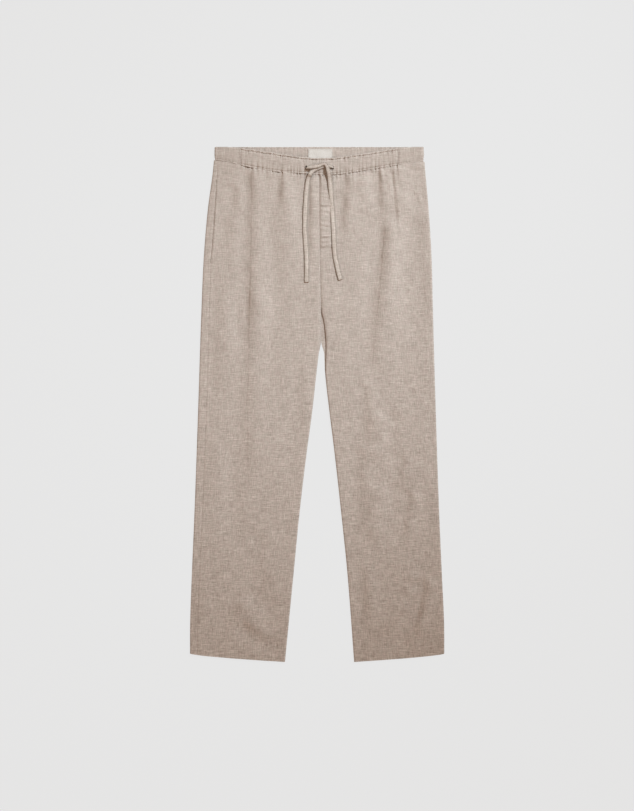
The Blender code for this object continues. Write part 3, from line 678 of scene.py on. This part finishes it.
def side_band_grid(half, seam_x):
    """A smooth end of the waistband, from its upright seam round the side fold to the underside."""
    outer, radius = half.outer(BAND_SIDE_DOWN), BAND_HEIGHT / 2
    turn = np.linspace(0, np.pi, 21)
    round_x = outer - half.sign * radius * (1 - np.sin(turn))
    round_z = radius * (1 + np.cos(turn))
    top_x = np.linspace(seam_x, round_x[0], 60)[:-1]
    flat_x = np.linspace(round_x[-1], outer - half.sign * BAND_TUCK, 16)[1:]
    x = np.concatenate([top_x, round_x, flat_x])[None, :]
    z = np.concatenate([np.full(len(top_x), BAND_HEIGHT), round_z, np.zeros(len(flat_x))])[None, :]
    on_top = np.concatenate([np.ones(len(top_x)), (1 + np.cos(turn)) / 2, np.zeros(len(flat_x))])[None, :]
    share = np.linspace(0, 1, SIDE_BAND_ROWS)[:, None]
    high = front_top(x) * smooth_step(on_top)
    low = np.where(on_top > 0.5, front_seam(x), back_seam(x))
    down = high + (low - high) * share
    width = low - high
    from_top, from_seam = share * width, (1 - share) * width
    relief = -0.0007 * (1 - quarter(from_top / BAND_EDGE)) - 0.0002 * (1 - quarter(from_seam / BAND_EDGE))
    relief -= 0.0008 * smooth_step(1 - from_seam / 0.016)
    relief -= 0.0004 * bell(from_top - BAND_STITCH, 0.001) + 0.0003 * bell(from_seam - SEAM_STITCH, 0.0012)
    relief += 0.0003 * undulation(x + 0 * share, down, 0.02, 61)
    relief -= 0.0007 * (1 - quarter(np.abs(x - seam_x) / 0.0022))
    z = z + 0 * share
    path = np.concatenate([[0], np.cumsum(np.hypot(np.diff(x[0]), np.diff(z[0])))])[None, :] + 0 * share
    z = z + relief * smooth_step((on_top - 0.5) * 2)
    x = x + 0 * share + half.sign * relief * 4 * on_top * (1 - on_top)
    return laid(x, down, z, path + SIDE_ROLL)


def inside_height(x, down):
    """Height of the back band's inner face, which shows above the front band."""
    share = np.clip(down / back_seam(x), 0, 1)
    from_top = share * back_seam(x)
    height = BACK_INSIDE + BAND_PUFF * 2.4 * share * (1 - share)
    height += BACK_GATHER_DEPTH * band_gathers(x, share, BACK_GATHERS) * (1 - label_cover(x, down))
    height -= 0.0006 * (1 - quarter(from_top / BAND_EDGE))
    height -= 0.0004 * bell(from_top - BAND_STITCH * 0.7, 0.0009) * (1 - label_cover(x, down))
    return np.maximum(height, BACK_LOWEST)


def label_cover(x, down):
    """1 under the label, which holds the cloth flat, fading out around it."""
    beside = np.abs(x - LABEL_X) - LABEL_WIDTH / 2
    above = np.abs(down - LABEL_DOWN - LABEL_HEIGHT / 2) - LABEL_HEIGHT / 2
    return 1 - smooth_step(np.maximum(beside, above) / 0.004)


def back_band_grid():
    start = RIGHT.outer(BAND_SIDE_DOWN) + BAND_TUCK + SEAM_GAP
    end = LEFT.outer(BAND_SIDE_DOWN) - BAND_TUCK - SEAM_GAP
    share = (np.linspace(0, 1, SIDE_BAND_ROWS) ** 1.25)[:, None]
    x = np.linspace(start, end, BACK_BAND_COLUMNS)[None, :] + 0 * share
    high = BACK_TOP + np.abs(band_line(x, 71))
    down = high + (back_seam(x) - high) * share
    return laid(x, down, inside_height(x, down), x + BACK_ROLL)


def facing_grid(half):
    down = np.linspace(POCKET_TOP, POCKET_END, FACING_ROWS)[:, None]
    across = FACING_IN + np.linspace(0, 1, FACING_COLUMNS)[None, :] * FACING_WIDTH
    x = half.x_at(across, down)
    down = down + 0 * across
    if half.sign < 0:
        z = lie_height(x, down) - FACING_BELOW
    else:
        z = 0 * x + FACING_ABOVE + 0.0004 * undulation(x, down, 0.02, 81)
    return laid(x, down, z, x + FACING_ROLL)


def label_grid():
    x = LABEL_X + np.linspace(-0.5, 0.5, LABEL_COLUMNS)[None, :] * LABEL_WIDTH
    rows = np.linspace(0, 1, LABEL_ROWS)[:, None]
    down = LABEL_DOWN + rows * LABEL_HEIGHT + 0 * x
    x = x + 0 * rows
    from_ends = LABEL_WIDTH / 2 - np.abs(x - LABEL_X)
    from_edge = np.minimum(from_ends, np.minimum(rows, 1 - rows) * LABEL_HEIGHT)
    z = BACK_INSIDE + BAND_PUFF * 0.6 + LABEL_RISE
    z = z + 0.00018 * bell(from_edge - 0.0004, 0.001) - 0.0002 * bell(from_edge - 0.0022, 0.0007)
    z = z + 0.00025 * undulation(x, down, 0.022, 91)
    return np.stack([x, TOP - down, z], axis=2), np.stack([x - LABEL_X, down - LABEL_DOWN], axis=2)


# ---------------------------------------------------------------- meshes
def add_mesh(name, points, faces, material, cloth_map=None, sharp=None):
    """A smooth mesh. cloth_map is each point's place on the cloth; edges turning over sharp stay so."""
    data = bpy.data.meshes.new(name)
    data.from_pydata(points.tolist(), [], faces)
    data.shade_smooth()
    if sharp:
        data.set_sharp_from_angle(angle=math.radians(sharp))
    data.materials.append(material)
    if cloth_map is not None:
        corners = np.empty(len(data.loops), dtype=np.int32)
        data.loops.foreach_get("vertex_index", corners)
        layer = data.uv_layers.new(name="cloth")
        layer.data.foreach_set("uv", cloth_map[corners].astype(np.float32).ravel())
    return in_scene(name, data)


def grid_faces(rows, columns):
    corner = (np.arange(rows - 1)[:, None] * columns + np.arange(columns - 1)).ravel()
    return np.stack([corner, corner + 1, corner + columns + 1, corner + columns], axis=1)


def cloth_shell(name, grid, cloth_map, thickness, side, material):
    """A closed thin shell whose outer face is grid; side is 1 or -1, whichever faces outwards."""
    rows, columns = grid.shape[:2]
    along, across = np.gradient(grid, axis=0), np.gradient(grid, axis=1)
    normal = side * np.cross(across, along)
    normal /= np.maximum(np.linalg.norm(normal, axis=2, keepdims=True), 1e-12)
    inner = grid - normal * thickness
    inner[:, :, 2] = np.maximum(inner[:, :, 2], 0.0)
    count = rows * columns
    outer_faces = grid_faces(rows, columns)
    inner_faces = outer_faces[:, ::-1] + count
    first_row, first_column = np.arange(columns), np.arange(rows) * columns
    last_row, last_column = first_row + (rows - 1) * columns, first_column + columns - 1
    rim = np.concatenate([first_column, last_row[1:], last_column[::-1][1:], first_row[::-1][1:-1]])
    after = np.roll(rim, -1)
    rim_faces = np.stack([rim, after, after + count, rim + count], axis=1)
    points = np.concatenate([grid.reshape(-1, 3), inner.reshape(-1, 3)])
    faces = np.concatenate([outer_faces, inner_faces, rim_faces])
    if side < 0:
        faces = faces[:, ::-1]
    both_faces = np.concatenate([cloth_map.reshape(-1, 2)] * 2)
    return add_mesh(name, points, faces.tolist(), material, both_faces, sharp=50)


def sew(name, lines):
    """One mesh of stitches, each a small closed tube of thread: lines is (count, points, 3)."""
    count, steps = lines.shape[:2]
    run = unit(np.gradient(lines, axis=1))
    across = np.cross(run, (0.0, 0.0, 1.0))
    short = np.linalg.norm(across, axis=2, keepdims=True) < 1e-4
    across = unit(np.where(short, (1.0, 0.0, 0.0), across))
    up = np.cross(across, run)
    angle = np.linspace(0, 2 * np.pi, THREAD_SIDES, endpoint=False)[:, None]
    ring = np.cos(angle) * across[:, :, None, :] + np.sin(angle) * up[:, :, None, :]
    points = lines[:, :, None, :] + ring * np.asarray(STITCH_RADII)[None, :, None, None]
    base = (np.arange(count) * steps * THREAD_SIDES)[:, None, None]
    step = (np.arange(steps - 1) * THREAD_SIDES)[None, :, None]
    around = np.arange(THREAD_SIDES)
    walls = np.stack([base + step + around, base + step + np.roll(around, -1)], axis=-1)
    walls = np.concatenate([walls, walls[..., ::-1] + THREAD_SIDES], axis=-1).reshape(-1, 4)
    fan = np.stack([0 * around[2:], around[1:-1], around[2:]], axis=1)
    start, end = base + fan[::-1, ::-1], base + (steps - 1) * THREAD_SIDES + fan
    caps = np.concatenate([start.reshape(-1, 3), end.reshape(-1, 3)])
    piece = add_mesh(name, points.reshape(-1, 3), walls.tolist() + caps.tolist(), THREAD)
    return belongs(piece, "linen")


# ---------------------------------------------------------------- stitching
def resample(points, pitch):
    """Points every pitch or so along a line."""
    length = lengths_along(points)
    count = max(int(round(length[-1] / pitch)), 1)
    places = np.linspace(0, length[-1], count + 1)
    return np.stack([np.interp(places, length, points[:, axis]) for axis in range(3)], axis=1)


def stitch_lines(line, pitch=STITCH_PITCH, lift=STITCH_LIFT, side=1.0):
    """The stitches of one seam: each rises out of the cloth, runs over it and goes down again."""
    knots = resample(line, pitch)
    start, run = knots[:-1], (knots[1:] - knots[:-1]) * STITCH_FILL
    arch = [start + run * share + (0.0, 0.0, side * lift * height) for share, height in STITCH_ARCH]
    return np.stack(arch, axis=1)


def row_line(grid, from_hem):
    """The line across a panel's grid at a distance from its last row, measured along the cloth."""
    steps = np.linalg.norm(np.diff(grid, axis=0), axis=2)[::-1].cumsum(axis=0)
    steps = np.concatenate([np.zeros((1, grid.shape[1])), steps])
    down_the_cloth = zip(steps.T, np.moveaxis(grid[::-1], 1, 0))
    return np.array([[np.interp(from_hem, step, axis) for axis in line.T] for step, line in down_the_cloth])


# ---------------------------------------------------------------- finishes
class Value:
    """One output of a finish's node. Maths on it adds Math nodes."""

    def __init__(self, finish, socket):
        self.finish, self.socket = finish, socket

    def maths(self, operation, first, second):
        return self.finish.add("ShaderNodeMath", {"operation": operation}, {0: first, 1: second})

    def __add__(self, other):
        return self.maths("ADD", self, other)

    def __sub__(self, other):
        return self.maths("SUBTRACT", self, other)

    def __rsub__(self, other):
        return self.maths("SUBTRACT", other, self)

    def __mul__(self, other):
        return self.maths("MULTIPLY", self, other)

    __radd__ = __add__
    __rmul__ = __mul__

    def ramp(self, low, high):
        """0 at low, 1 at high, smooth between."""
        inputs = {"Value": self, "From Min": low, "From Max": high}
        return self.finish.add("ShaderNodeMapRange", {"interpolation_type": "SMOOTHSTEP"}, inputs)

    def wave(self):
        return self.finish.add("ShaderNodeMath", {"operation": "SINE"}, {0: self})


class Finish:
    """A material with the nodes of its pattern."""

    def __init__(self, name, **constants):
        self.material = bpy.data.materials.new(name)
        self.material.use_nodes = True
        self.nodes = self.material.node_tree.nodes
        self.shader = self.nodes["Principled BSDF"]
        for socket, value in constants.items():
            self.shader.inputs[socket.replace("_", " ")].default_value = value

    def add(self, kind, settings, inputs, output=0):
        node = self.nodes.new(kind)
        for setting, value in settings.items():
            setattr(node, setting, value)
        for socket, value in inputs.items():
            self.feed(node.inputs[socket], value)
        return Value(self, node.outputs[output])

    def feed(self, socket, value):
        if isinstance(value, Value):
            self.material.node_tree.links.new(value.socket, socket)
        else:
            socket.default_value = value

    def surface(self, socket, value):
        self.feed(self.shader.inputs[socket], value)

    def cloth_place(self):
        return self.add("ShaderNodeUVMap", {"uv_map": "cloth"}, {})

    def object_place(self):
        return self.add("ShaderNodeTexCoord", {}, {}, output="Object")

    def part(self, place, axis):
        """One part of a place: 0 is across or x, 1 is along or y."""
        return self.add("ShaderNodeSeparateXYZ", {}, {0: place}, output=axis)

    def rough_up(self, height, distance, strength):
        inputs = {"Height": height, "Distance": distance, "Strength": strength}
        self.surface("Normal", self.add("ShaderNodeBump", {}, inputs))

    def noise(self, place, across, along, detail=2.0, roughness=0.5):
        """Noise in cells of that size across and along the cloth, in metres."""
        size = (1 / across, 1 / along, 1.0)
        stretched = self.add("ShaderNodeVectorMath", {"operation": "MULTIPLY"}, {0: place, 1: size})
        inputs = {"Vector": stretched, "Scale": 1.0, "Detail": detail, "Roughness": roughness}
        return self.add("ShaderNodeTexNoise", {"noise_dimensions": "2D"}, inputs)

    def blend(self, share, first, second, how="MIX"):
        settings = {"data_type": "RGBA", "blend_type": how}
        return self.add("ShaderNodeMix", settings, {0: share, 6: first, 7: second}, output=2)


def plain_weave(finish, place, yarn):
    """Rises and falls of a plain weave whose yarns lie yarn apart, from -1 to 1."""
    across, along = finish.part(place, 0), finish.part(place, 1)
    turn = math.pi / yarn
    return (across * turn).wave() * (along * turn).wave()


def linen_finish(name, dark, pale):
    """Linen with paler and darker slubs running both ways."""
    finish = Finish(name, Roughness=0.93, Specular_IOR_Level=0.18, Sheen_Weight=0.12, Sheen_Roughness=0.6)
    place = finish.cloth_place()
    lengthwise = finish.noise(place, 0.0015, 0.024, 1.0, 0.5)
    crosswise = finish.noise(place, 0.024, 0.0015, 1.0, 0.5)
    short_down = finish.noise(place, 0.0012, 0.008, 1.0, 0.5)
    short_across = finish.noise(place, 0.008, 0.0012, 1.0, 0.5)
    slub_down = finish.noise(place, 0.0014, 0.03, 1.0).ramp(0.62, 0.8)
    slub_across = finish.noise(place, 0.03, 0.0014, 1.0).ramp(0.6, 0.78)
    cloudy = finish.noise(place, 0.04, 0.06, 2.0, 0.5)
    weave = plain_weave(finish, place, 0.00085)
    slubs = (lengthwise - 0.5) * 0.7 + (crosswise - 0.5) * 0.78
    slubs = slubs + (short_down - 0.5) * 0.58 + (short_across - 0.5) * 0.68
    slubs = slubs + slub_down * 0.26 + slub_across * 0.38 + (cloudy - 0.5) * 0.14 + weave * 0.05
    up_the_leg = finish.part(finish.object_place(), 1)
    shade = 0.41 + slubs * (0.93 - up_the_leg * 0.46)  # pressed smoother towards the waist
    tint = finish.noise(place, 0.007, 0.012, 1.0).ramp(0.35, 0.65)
    tint = finish.blend(tint, ROSY_TINT, MOSSY_TINT)
    finish.surface("Base Color", finish.blend(0.5, finish.blend(shade, dark, pale), tint, "MULTIPLY"))
    raised = weave * 0.35 + lengthwise * 1.6 + crosswise * 1.6 + (slub_down + slub_across) * 0.8
    finish.rough_up(raised, 0.0001, 0.7)
    return finish.material


def thread_finish():
    finish = Finish("greige_thread", Roughness=0.7, Specular_IOR_Level=0.3)
    inputs = {"Vector": finish.object_place(), "Scale": 900.0, "Detail": 1.0}
    spots = finish.add("ShaderNodeTexNoise", {}, inputs)
    finish.surface("Base Color", finish.blend(spots, THREAD_DARK, THREAD_PALE))
    return finish.material


def label_finish():
    """Fine twill tape, with ribs running across."""
    finish = Finish("ecru_tape", Roughness=0.8, Specular_IOR_Level=0.25)
    place = finish.cloth_place()
    weave = plain_weave(finish, place, 0.0004)
    streaks = finish.noise(place, 0.008, 0.0006, 1.0)
    shade = 0.5 + weave * 0.15 + (streaks - 0.5) * 0.5
    finish.surface("Base Color", finish.blend(shade, ECRU_DARK, ECRU_PALE))
    finish.rough_up(weave + streaks, 0.00006, 0.6)
    return finish.material


LINEN_DARK, LINEN_PALE = (0.335, 0.277, 0.239, 1.0), (0.665, 0.572, 0.516, 1.0)
# A paler copy of the linen for the drawstring: painted light, so that the raised tape reads as lit against
# the cloth.
LIT_STRING_DARK, LIT_STRING_PALE = (0.39, 0.325, 0.28, 1.0), (0.76, 0.665, 0.6, 1.0)
# A darker copy of the linen for the tape's long edges: painted shade, standing for the shadow lines along
# them.
EDGE_SHADE_DARK, EDGE_SHADE_PALE = (0.25, 0.205, 0.17, 1.0), (0.5, 0.425, 0.37, 1.0)
THREAD_DARK, THREAD_PALE = (0.36, 0.3, 0.255, 1.0), (0.56, 0.49, 0.43, 1.0)
ECRU_DARK, ECRU_PALE = (0.56, 0.52, 0.48, 1.0), (0.75, 0.705, 0.66, 1.0)
ROSY_TINT, MOSSY_TINT = (1.0, 0.962, 0.958, 1.0), (0.972, 0.99, 0.962, 1.0)
LINEN = linen_finish("greige_linen", LINEN_DARK, LINEN_PALE)
# Paler copy of the linen for the drawstring: painted light.
LIT_STRING_LINEN = linen_finish("painted_light_string_linen", LIT_STRING_DARK, LIT_STRING_PALE)
# Darker copy of the linen for the tape's edges: painted shade.
STRING_EDGE_SHADE = linen_finish("painted_shade_string_edge", EDGE_SHADE_DARK, EDGE_SHADE_PALE)
THREAD, TAPE = thread_finish(), label_finish()


# ---------------------------------------------------------------- making
def belongs(piece, slot, *nodes):
    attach(piece, "root")
    if nodes:
        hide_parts(*nodes)
    return piece


def drawstring(name, route, seed):
    """A free end of the flat drawstring, sewn along one edge and across its tip."""
    rows = np.column_stack([np.linspace(0, 1, len(route)), route])
    at = np.linspace(0, 1, STRING_SECTIONS)
    x, down, over, width = (column_at(rows, column, at) for column in (1, 2, 3, 4))
    on_band = smooth_step((front_seam(x) + 0.008 - down) / 0.008)
    under = lie_height(x, down)
    under = under + (BAND_TOP - under) * on_band
    centre = np.stack([x, TOP - down, under + STRING_CLEAR + over + STRING_THICK / 2], axis=1)
    run = unit(np.gradient(centre, axis=0))
    level = unit(np.stack([-run[:, 1], run[:, 0], np.zeros(len(run))], axis=1))
    tilt = 0.1 * undulation(at, 0, 0.1, seed)[:, None]
    wide = level * np.cos(tilt) + np.cross(run, level) * np.sin(tilt)
    up = np.cross(run, wide)
    width = (width * (1 + 0.035 * undulation(at, 0, 0.05, seed + 1)))[:, None]
    angle = np.linspace(0, 2 * np.pi, STRING_SIDES, endpoint=False)
    flat_across = np.sign(np.cos(angle)) * np.abs(np.cos(angle)) ** 0.75
    flat_up = np.sign(np.sin(angle)) * np.abs(np.sin(angle)) ** 0.85
    sewn = 1 - 0.3 * bell(flat_across - 0.62, 0.13) + 0.25 * bell(flat_across - 0.88, 0.12)
    ripple = 1 + 0.1 * undulation(at[:, None], flat_across[None, :], 0.03, seed + 2, 0.05)
    thick = STRING_FULL / 2 * flat_up * sewn * ripple * (1 - 0.35 * np.abs(flat_across) ** 3)
    ring = wide[:, None, :] * (width / 2 * flat_across)[:, :, None] + up[:, None, :] * thick[:, :, None]
    points = (centre[:, None, :] + ring).reshape(-1, 3)
    around = np.arange(STRING_SIDES)
    corner = (np.arange(STRING_SECTIONS - 1) * STRING_SIDES)[:, None]
    here, after = corner + around, corner + np.roll(around, -1)
    walls = np.stack([here, after, after + STRING_SIDES, here + STRING_SIDES], axis=-1).reshape(-1, 4)
    caps = [around[::-1].tolist(), (around + (STRING_SECTIONS - 1) * STRING_SIDES).tolist()]
    length = lengths_along(centre)
    across = width * (angle / (2 * np.pi)) * 2 + STRING_ROLL
    cloth_map = np.stack([across, length[:, None] + 0 * across], axis=2).reshape(-1, 2)
    # The tape takes the paler copy of the linen: painted light.
    piece = add_mesh(name, points, walls.tolist() + caps, LIT_STRING_LINEN, cloth_map, sharp=60)
    # The faces along both long edges of the tape take the darker copy: painted shade along them.
    piece.data.materials.append(STRING_EDGE_SHADE)
    shaded_rim = np.abs(flat_across + np.roll(flat_across, -1)) / 2 > STRING_RIM
    shaded_rims = np.append(np.tile(shaded_rim, STRING_SECTIONS - 1), [False, False]).astype(np.int32)
    piece.data.polygons.foreach_set("material_index", shaded_rims)
    belongs(piece, "linen", name.removesuffix("_cloth"))
    seam = centre + wide * (width * STRING_SEAM) + up * (STRING_FULL * 0.42)
    tip_across = np.linspace(-0.36, STRING_SEAM, 8)[:, None] * width[STRING_TIP]
    tip = centre[STRING_TIP] + wide[STRING_TIP] * tip_across + up[STRING_TIP] * STRING_FULL * 0.45
    lines = np.concatenate([stitch_lines(seam, STRING_STITCH), stitch_lines(tip, STRING_STITCH)])
    sewing = sew(name.replace("cloth", "stitching"), lines)


drawstring("drawstring_right_cloth", STRING_RIGHT, 101)
drawstring("drawstring_left_cloth", STRING_LEFT, 111)


def make_leg(half):
    """Front, back and pocket facing of one half. Gives the grids that its stitching follows."""
    turn = np.linspace(0, np.pi / 2, 11)[1:]
    at_edge, beyond = INNER_TURN * (1 - np.cos(turn)), np.linspace(INNER_TURN, 1, TOP_COLUMNS)[1:]
    front_zones = strip(STAND, (0.0, 0.35, 0.7, 1.0)) + strip(TOP_SIDE, [*at_edge, *beyond])
    fold = strip(FOLD_UP, even(9)[::-1][1:]) + strip(FOLD_DOWN, even(9, 1))
    if half.sign > 0:
        front_zones += fold + strip(UNDER, even(5, 1))
        back_zones = strip(UNDER, even(UNDER_COLUMNS))
    else:
        back_zones = strip(TOP_SIDE, even(12)) + fold + strip(UNDER, even(UNDER_COLUMNS, 1))
    front = panel_grid(half, front_zones, FRONT_ROWS, front_top_run, front_under_run)
    back = panel_grid(half, back_zones, BACK_ROWS, back_top_run, back_under_run)
    facing = facing_grid(half)
    pieces = ("front", front, CLOTH), ("back", back, CLOTH), ("pocket_facing", facing, FACING_CLOTH)
    for part, (grid, cloth_map), thickness in pieces:
        node = f"{part}_{half.name}"
        piece = cloth_shell(f"{node}_cloth", grid, cloth_map, thickness, -half.sign, LINEN)
        belongs(piece, "linen", node)
    return front[0], back[0]


def make_bands():
    grids = {
        "waistband_front": (*band_grid(), -1, BAND_CLOTH),
        "waistband_side_right": (*side_band_grid(RIGHT, BAND_SEAM_RIGHT), 1, BAND_CLOTH),
        "waistband_side_left": (*side_band_grid(LEFT, BAND_SEAM_LEFT), -1, BAND_CLOTH),
        "waistband_back": (*back_band_grid(), -1, BACK_INSIDE - BACK_TOP),
    }
    bands = {}
    for node, (grid, cloth_map, side, thickness) in grids.items():
        piece = cloth_shell(f"{node}_cloth", grid, cloth_map, thickness, side, LINEN)
        bands[node] = belongs(piece, "linen", node)
    return bands


def cut_eyelets(band):
    """Oval holes through the front band, where the drawstring's ends come out."""
    for x in (EYELET_RIGHT, EYELET_LEFT):
        data = bpy.data.meshes.new("eyelet_cutter")
        shape = bmesh.new()
        bmesh.ops.create_cone(shape, cap_ends=True, segments=28, radius1=0.5, radius2=0.5, depth=0.02)
        bmesh.ops.scale(shape, vec=(EYELET_WIDTH, EYELET_LENGTH, 1.0), verts=shape.verts)
        shape.to_mesh(data)
        shape.free()
        cutter = in_scene("eyelet_cutter", data)
        cutter.location = (x, TOP - EYELET_DOWN, BAND_HEIGHT)
        cut = band.modifiers.new("eyelet", "BOOLEAN")
        cut.operation, cut.solver, cut.object = "DIFFERENCE", "EXACT", cutter
        bpy.context.view_layer.update()
        whole = band.evaluated_get(bpy.context.evaluated_depsgraph_get())
        cut_band = bpy.data.meshes.new_from_object(whole)
        band.modifiers.clear()
        band.data = cut_band
        bpy.data.objects.remove(cutter)


def eyelet_stitches(x):
    """Buttonhole stitches lying side by side round an eyelet."""
    angle = np.linspace(0, 2 * np.pi, BUTTONHOLE_STITCHES, endpoint=False)
    lines = []
    for reach, lift in BUTTONHOLE_ARCH:
        at_x = x + (EYELET_WIDTH / 2 + reach) * np.cos(angle)
        down = EYELET_DOWN + (EYELET_LENGTH / 2 + reach) * np.sin(angle)
        lines.append(upper_line(at_x, down) + (0.0, 0.0, lift))
    return np.stack(lines, axis=1)


def surface_height(x, down):
    """Height of the upper side anywhere on the waistband or the fronts."""
    share = (down - front_top(x)) / (front_seam(x) - front_top(x))
    right, left = (half.top_height(np.abs(x - half.outer(down)), down) for half in (RIGHT, LEFT))
    fronts = np.where(x < centre_seam(down), right, left)
    return np.where(share < 1.0, band_height(x, np.clip(share, 0, 1)), fronts)


def upper_line(x, down):
    x, down = np.broadcast_arrays(np.asarray(x, float), np.asarray(down, float))
    return np.stack([x, TOP - down, surface_height(x, down)], axis=1)


def bar_tack(x, down, lean):
    """A short dense bar of thread across the end of a pocket's mouth or of the fly."""
    across = np.linspace(-TACK_WIDTH, TACK_WIDTH, len(TACK_ARCH))
    lines = []
    for share in np.linspace(-0.5, 0.5, TACK_THREADS):
        line = upper_line(x + share * 0.0012 * lean + across, down + share * TACK_LENGTH)
        line[:, 2] += TACK_ARCH
        lines.append(line)
    return np.array(lines)


def leg_stitches(half, front, back):
    """Hem, outseam and pocket stitching of one leg."""
    lines = [stitch_lines(row_line(front, HEM_TURN)[6:-2])]
    hem_under = row_line(back, HEM_TURN)
    if half.sign < 0:
        lines.append(stitch_lines(hem_under[:10]))
        hem_under = hem_under[30:]
    lines.append(stitch_lines(hem_under, side=-1.0, lift=0.0001))
    if half.sign < 0:
        down = np.linspace(SEAM_DEEPEST + 0.004, HEM_OUTER - 0.004, 500)
        across = half.outseam_at(down) + OUTSEAM_STITCH + half.gape(down)
        outseam = upper_line(half.x_at(across, down), down)
        lines.append(stitch_lines(outseam[down < POCKET_END + 0.004]))
        mouth = (down > POCKET_TOP) & (down < POCKET_END)
        inner = upper_line(half.x_at(across + POCKET_STITCH, down)[mouth], down[mouth])
        lines.append(stitch_lines(inner))
        for at in (POCKET_TOP, POCKET_END):
            lines.append(bar_tack(float(half.x_at(half.outseam_at(at), at)), at, 0.4))
    return np.concatenate(lines)


def fly_stitches():
    """The fly's J-shaped stitching, with the centre seam's below it and a bar tack between."""
    straight = np.linspace(float(front_seam(0.028)) + 0.004, FLY_END - FLY_BEND, 200)
    turn = np.linspace(0, np.pi / 2, 20)[1:]
    foot = np.linspace(FLY_WIDTH - FLY_BEND, 0.001, 30)[1:]
    bend = FLY_WIDTH - FLY_BEND * (1 - np.cos(turn))
    across = np.concatenate([0 * straight + FLY_WIDTH, bend, foot])
    down = np.concatenate([straight, FLY_END - FLY_BEND * (1 - np.sin(turn)), 0 * foot + FLY_END])
    outline = upper_line(centre_seam(down) + across, down)
    below = np.linspace(FLY_END + 0.002, CROTCH - 0.01, 160)
    beside = upper_line(centre_seam(below) - 0.0026, below)
    tack = bar_tack(float(centre_seam(FLY_END)) + 0.0012, FLY_END + 0.001, 0.2)
    return np.concatenate([stitch_lines(outline), stitch_lines(beside), tack])


def band_stitches():
    """Topstitching along both edges of the bands and down their upright seams."""
    right_fold, left_fold = RIGHT.outer(BAND_SIDE_DOWN), LEFT.outer(BAND_SIDE_DOWN)
    lines = []
    x = np.linspace(right_fold + 0.006, left_fold - 0.006, 900)
    top = front_top(x) + np.where((x > BAND_SEAM_RIGHT) & (x < BAND_SEAM_LEFT), band_line(x, 51), 0)
    on_right, on_left = x < BAND_SEAM_RIGHT - 0.001, x > BAND_SEAM_LEFT + 0.001
    between = (x > BAND_SEAM_RIGHT + 0.001) & (x < BAND_SEAM_LEFT - 0.001)
    for down in (top + BAND_STITCH, front_seam(x) - SEAM_STITCH):
        for piece in (on_right, between, on_left):
            lines.append(stitch_lines(upper_line(x[piece], down[piece])))
    for at in (BAND_SEAM_RIGHT - 0.003, BAND_SEAM_LEFT + 0.003):
        down = np.linspace(float(front_top(at)) + 0.003, float(front_seam(at)) - 0.003, 30)
        lines.append(stitch_lines(upper_line(at, down)))
    x = np.linspace(right_fold + BAND_TUCK + 0.003, left_fold - BAND_TUCK - 0.003, 700)
    down = BACK_TOP + BAND_STITCH * 0.7 + 0 * x
    clear = np.abs(x - LABEL_X) > LABEL_WIDTH / 2 + 0.001
    inside = np.stack([x, TOP - down, inside_height(x, down)], axis=1)
    lines += [stitch_lines(inside[clear & side]) for side in (x < LABEL_X, x > LABEL_X)]
    return np.concatenate(lines)


def label_stitches(grid):
    """Stitching round the label, three columns in from its edge."""
    inset = grid[3:-3, 3:-3]
    sides = (inset[0], inset[:, -1], inset[-1][::-1], inset[:, 0][::-1])
    return np.concatenate([stitch_lines(side, LABEL_STITCH) for side in sides])


right_front, right_back = make_leg(RIGHT)
left_front, left_back = make_leg(LEFT)
cut_eyelets(make_bands()["waistband_front"])

tape_grid, tape_map = label_grid()
tape = cloth_shell("label_tape", tape_grid, tape_map, LABEL_CLOTH, -1, TAPE)
belongs(tape, "label", "label")

sew("stitching_leg_right", leg_stitches(RIGHT, right_front, right_back))
sew("stitching_leg_left", leg_stitches(LEFT, left_front, left_back))
sew("stitching_fly", fly_stitches())
sew("stitching_bands", band_stitches())
sew("stitching_label", label_stitches(tape_grid))
sew("stitching_eyelets", np.concatenate([eyelet_stitches(EYELET_RIGHT), eyelet_stitches(EYELET_LEFT)]))


# ---------------------------------------------------------------- studio
def add_floor():
    data = bpy.data.meshes.new("floor")
    size = FLOOR_SIZE / 2
    corners = [(x * size, y * size, FLOOR_HEIGHT) for x, y in ((-1, -1), (1, -1), (1, 1), (-1, 1))]
    data.from_pydata(corners, [], [(0, 1, 2, 3)])
    finish = Finish("pale_floor", Roughness=1.0, Specular_IOR_Level=0.0, Base_Color=FLOOR_GREY)
    finish.shader.inputs["Emission Color"].default_value = (1.0, 1.0, 1.0, 1.0)
    finish.shader.inputs["Emission Strength"].default_value = FLOOR_GLOW
    data.materials.append(finish.material)
    in_scene("floor", data)


def add_key():
    """A soft beam from beyond the wearer's left hip, whose edge dims towards the hems."""
    data = bpy.data.lights.new("key", "SPOT")
    data.energy, data.color = KEY_POWER, KEY_COLOUR
    data.shadow_soft_size, data.spot_size, data.spot_blend = KEY_RADIUS, KEY_SPREAD, 1.0
    light = in_scene("key", data)
    direction = Vector(KEY_DIRECTION).normalized()
    light.location = Vector(KEY_AIM) + direction * KEY_DISTANCE
    light.rotation_euler = direction.to_track_quat("Z", "Y").to_euler()


def add_studio():
    add_floor()
    add_key()
    world = bpy.data.worlds.new("studio")
    world.use_nodes = True
    background = world.node_tree.nodes["Background"]
    background.inputs["Color"].default_value = WORLD_COLOUR
    background.inputs["Strength"].default_value = WORLD_GLOW
    scene = bpy.context.scene
    scene.world = world
    scene.view_settings.view_transform = "Standard"
    scene.view_settings.look = "None"


add_studio()
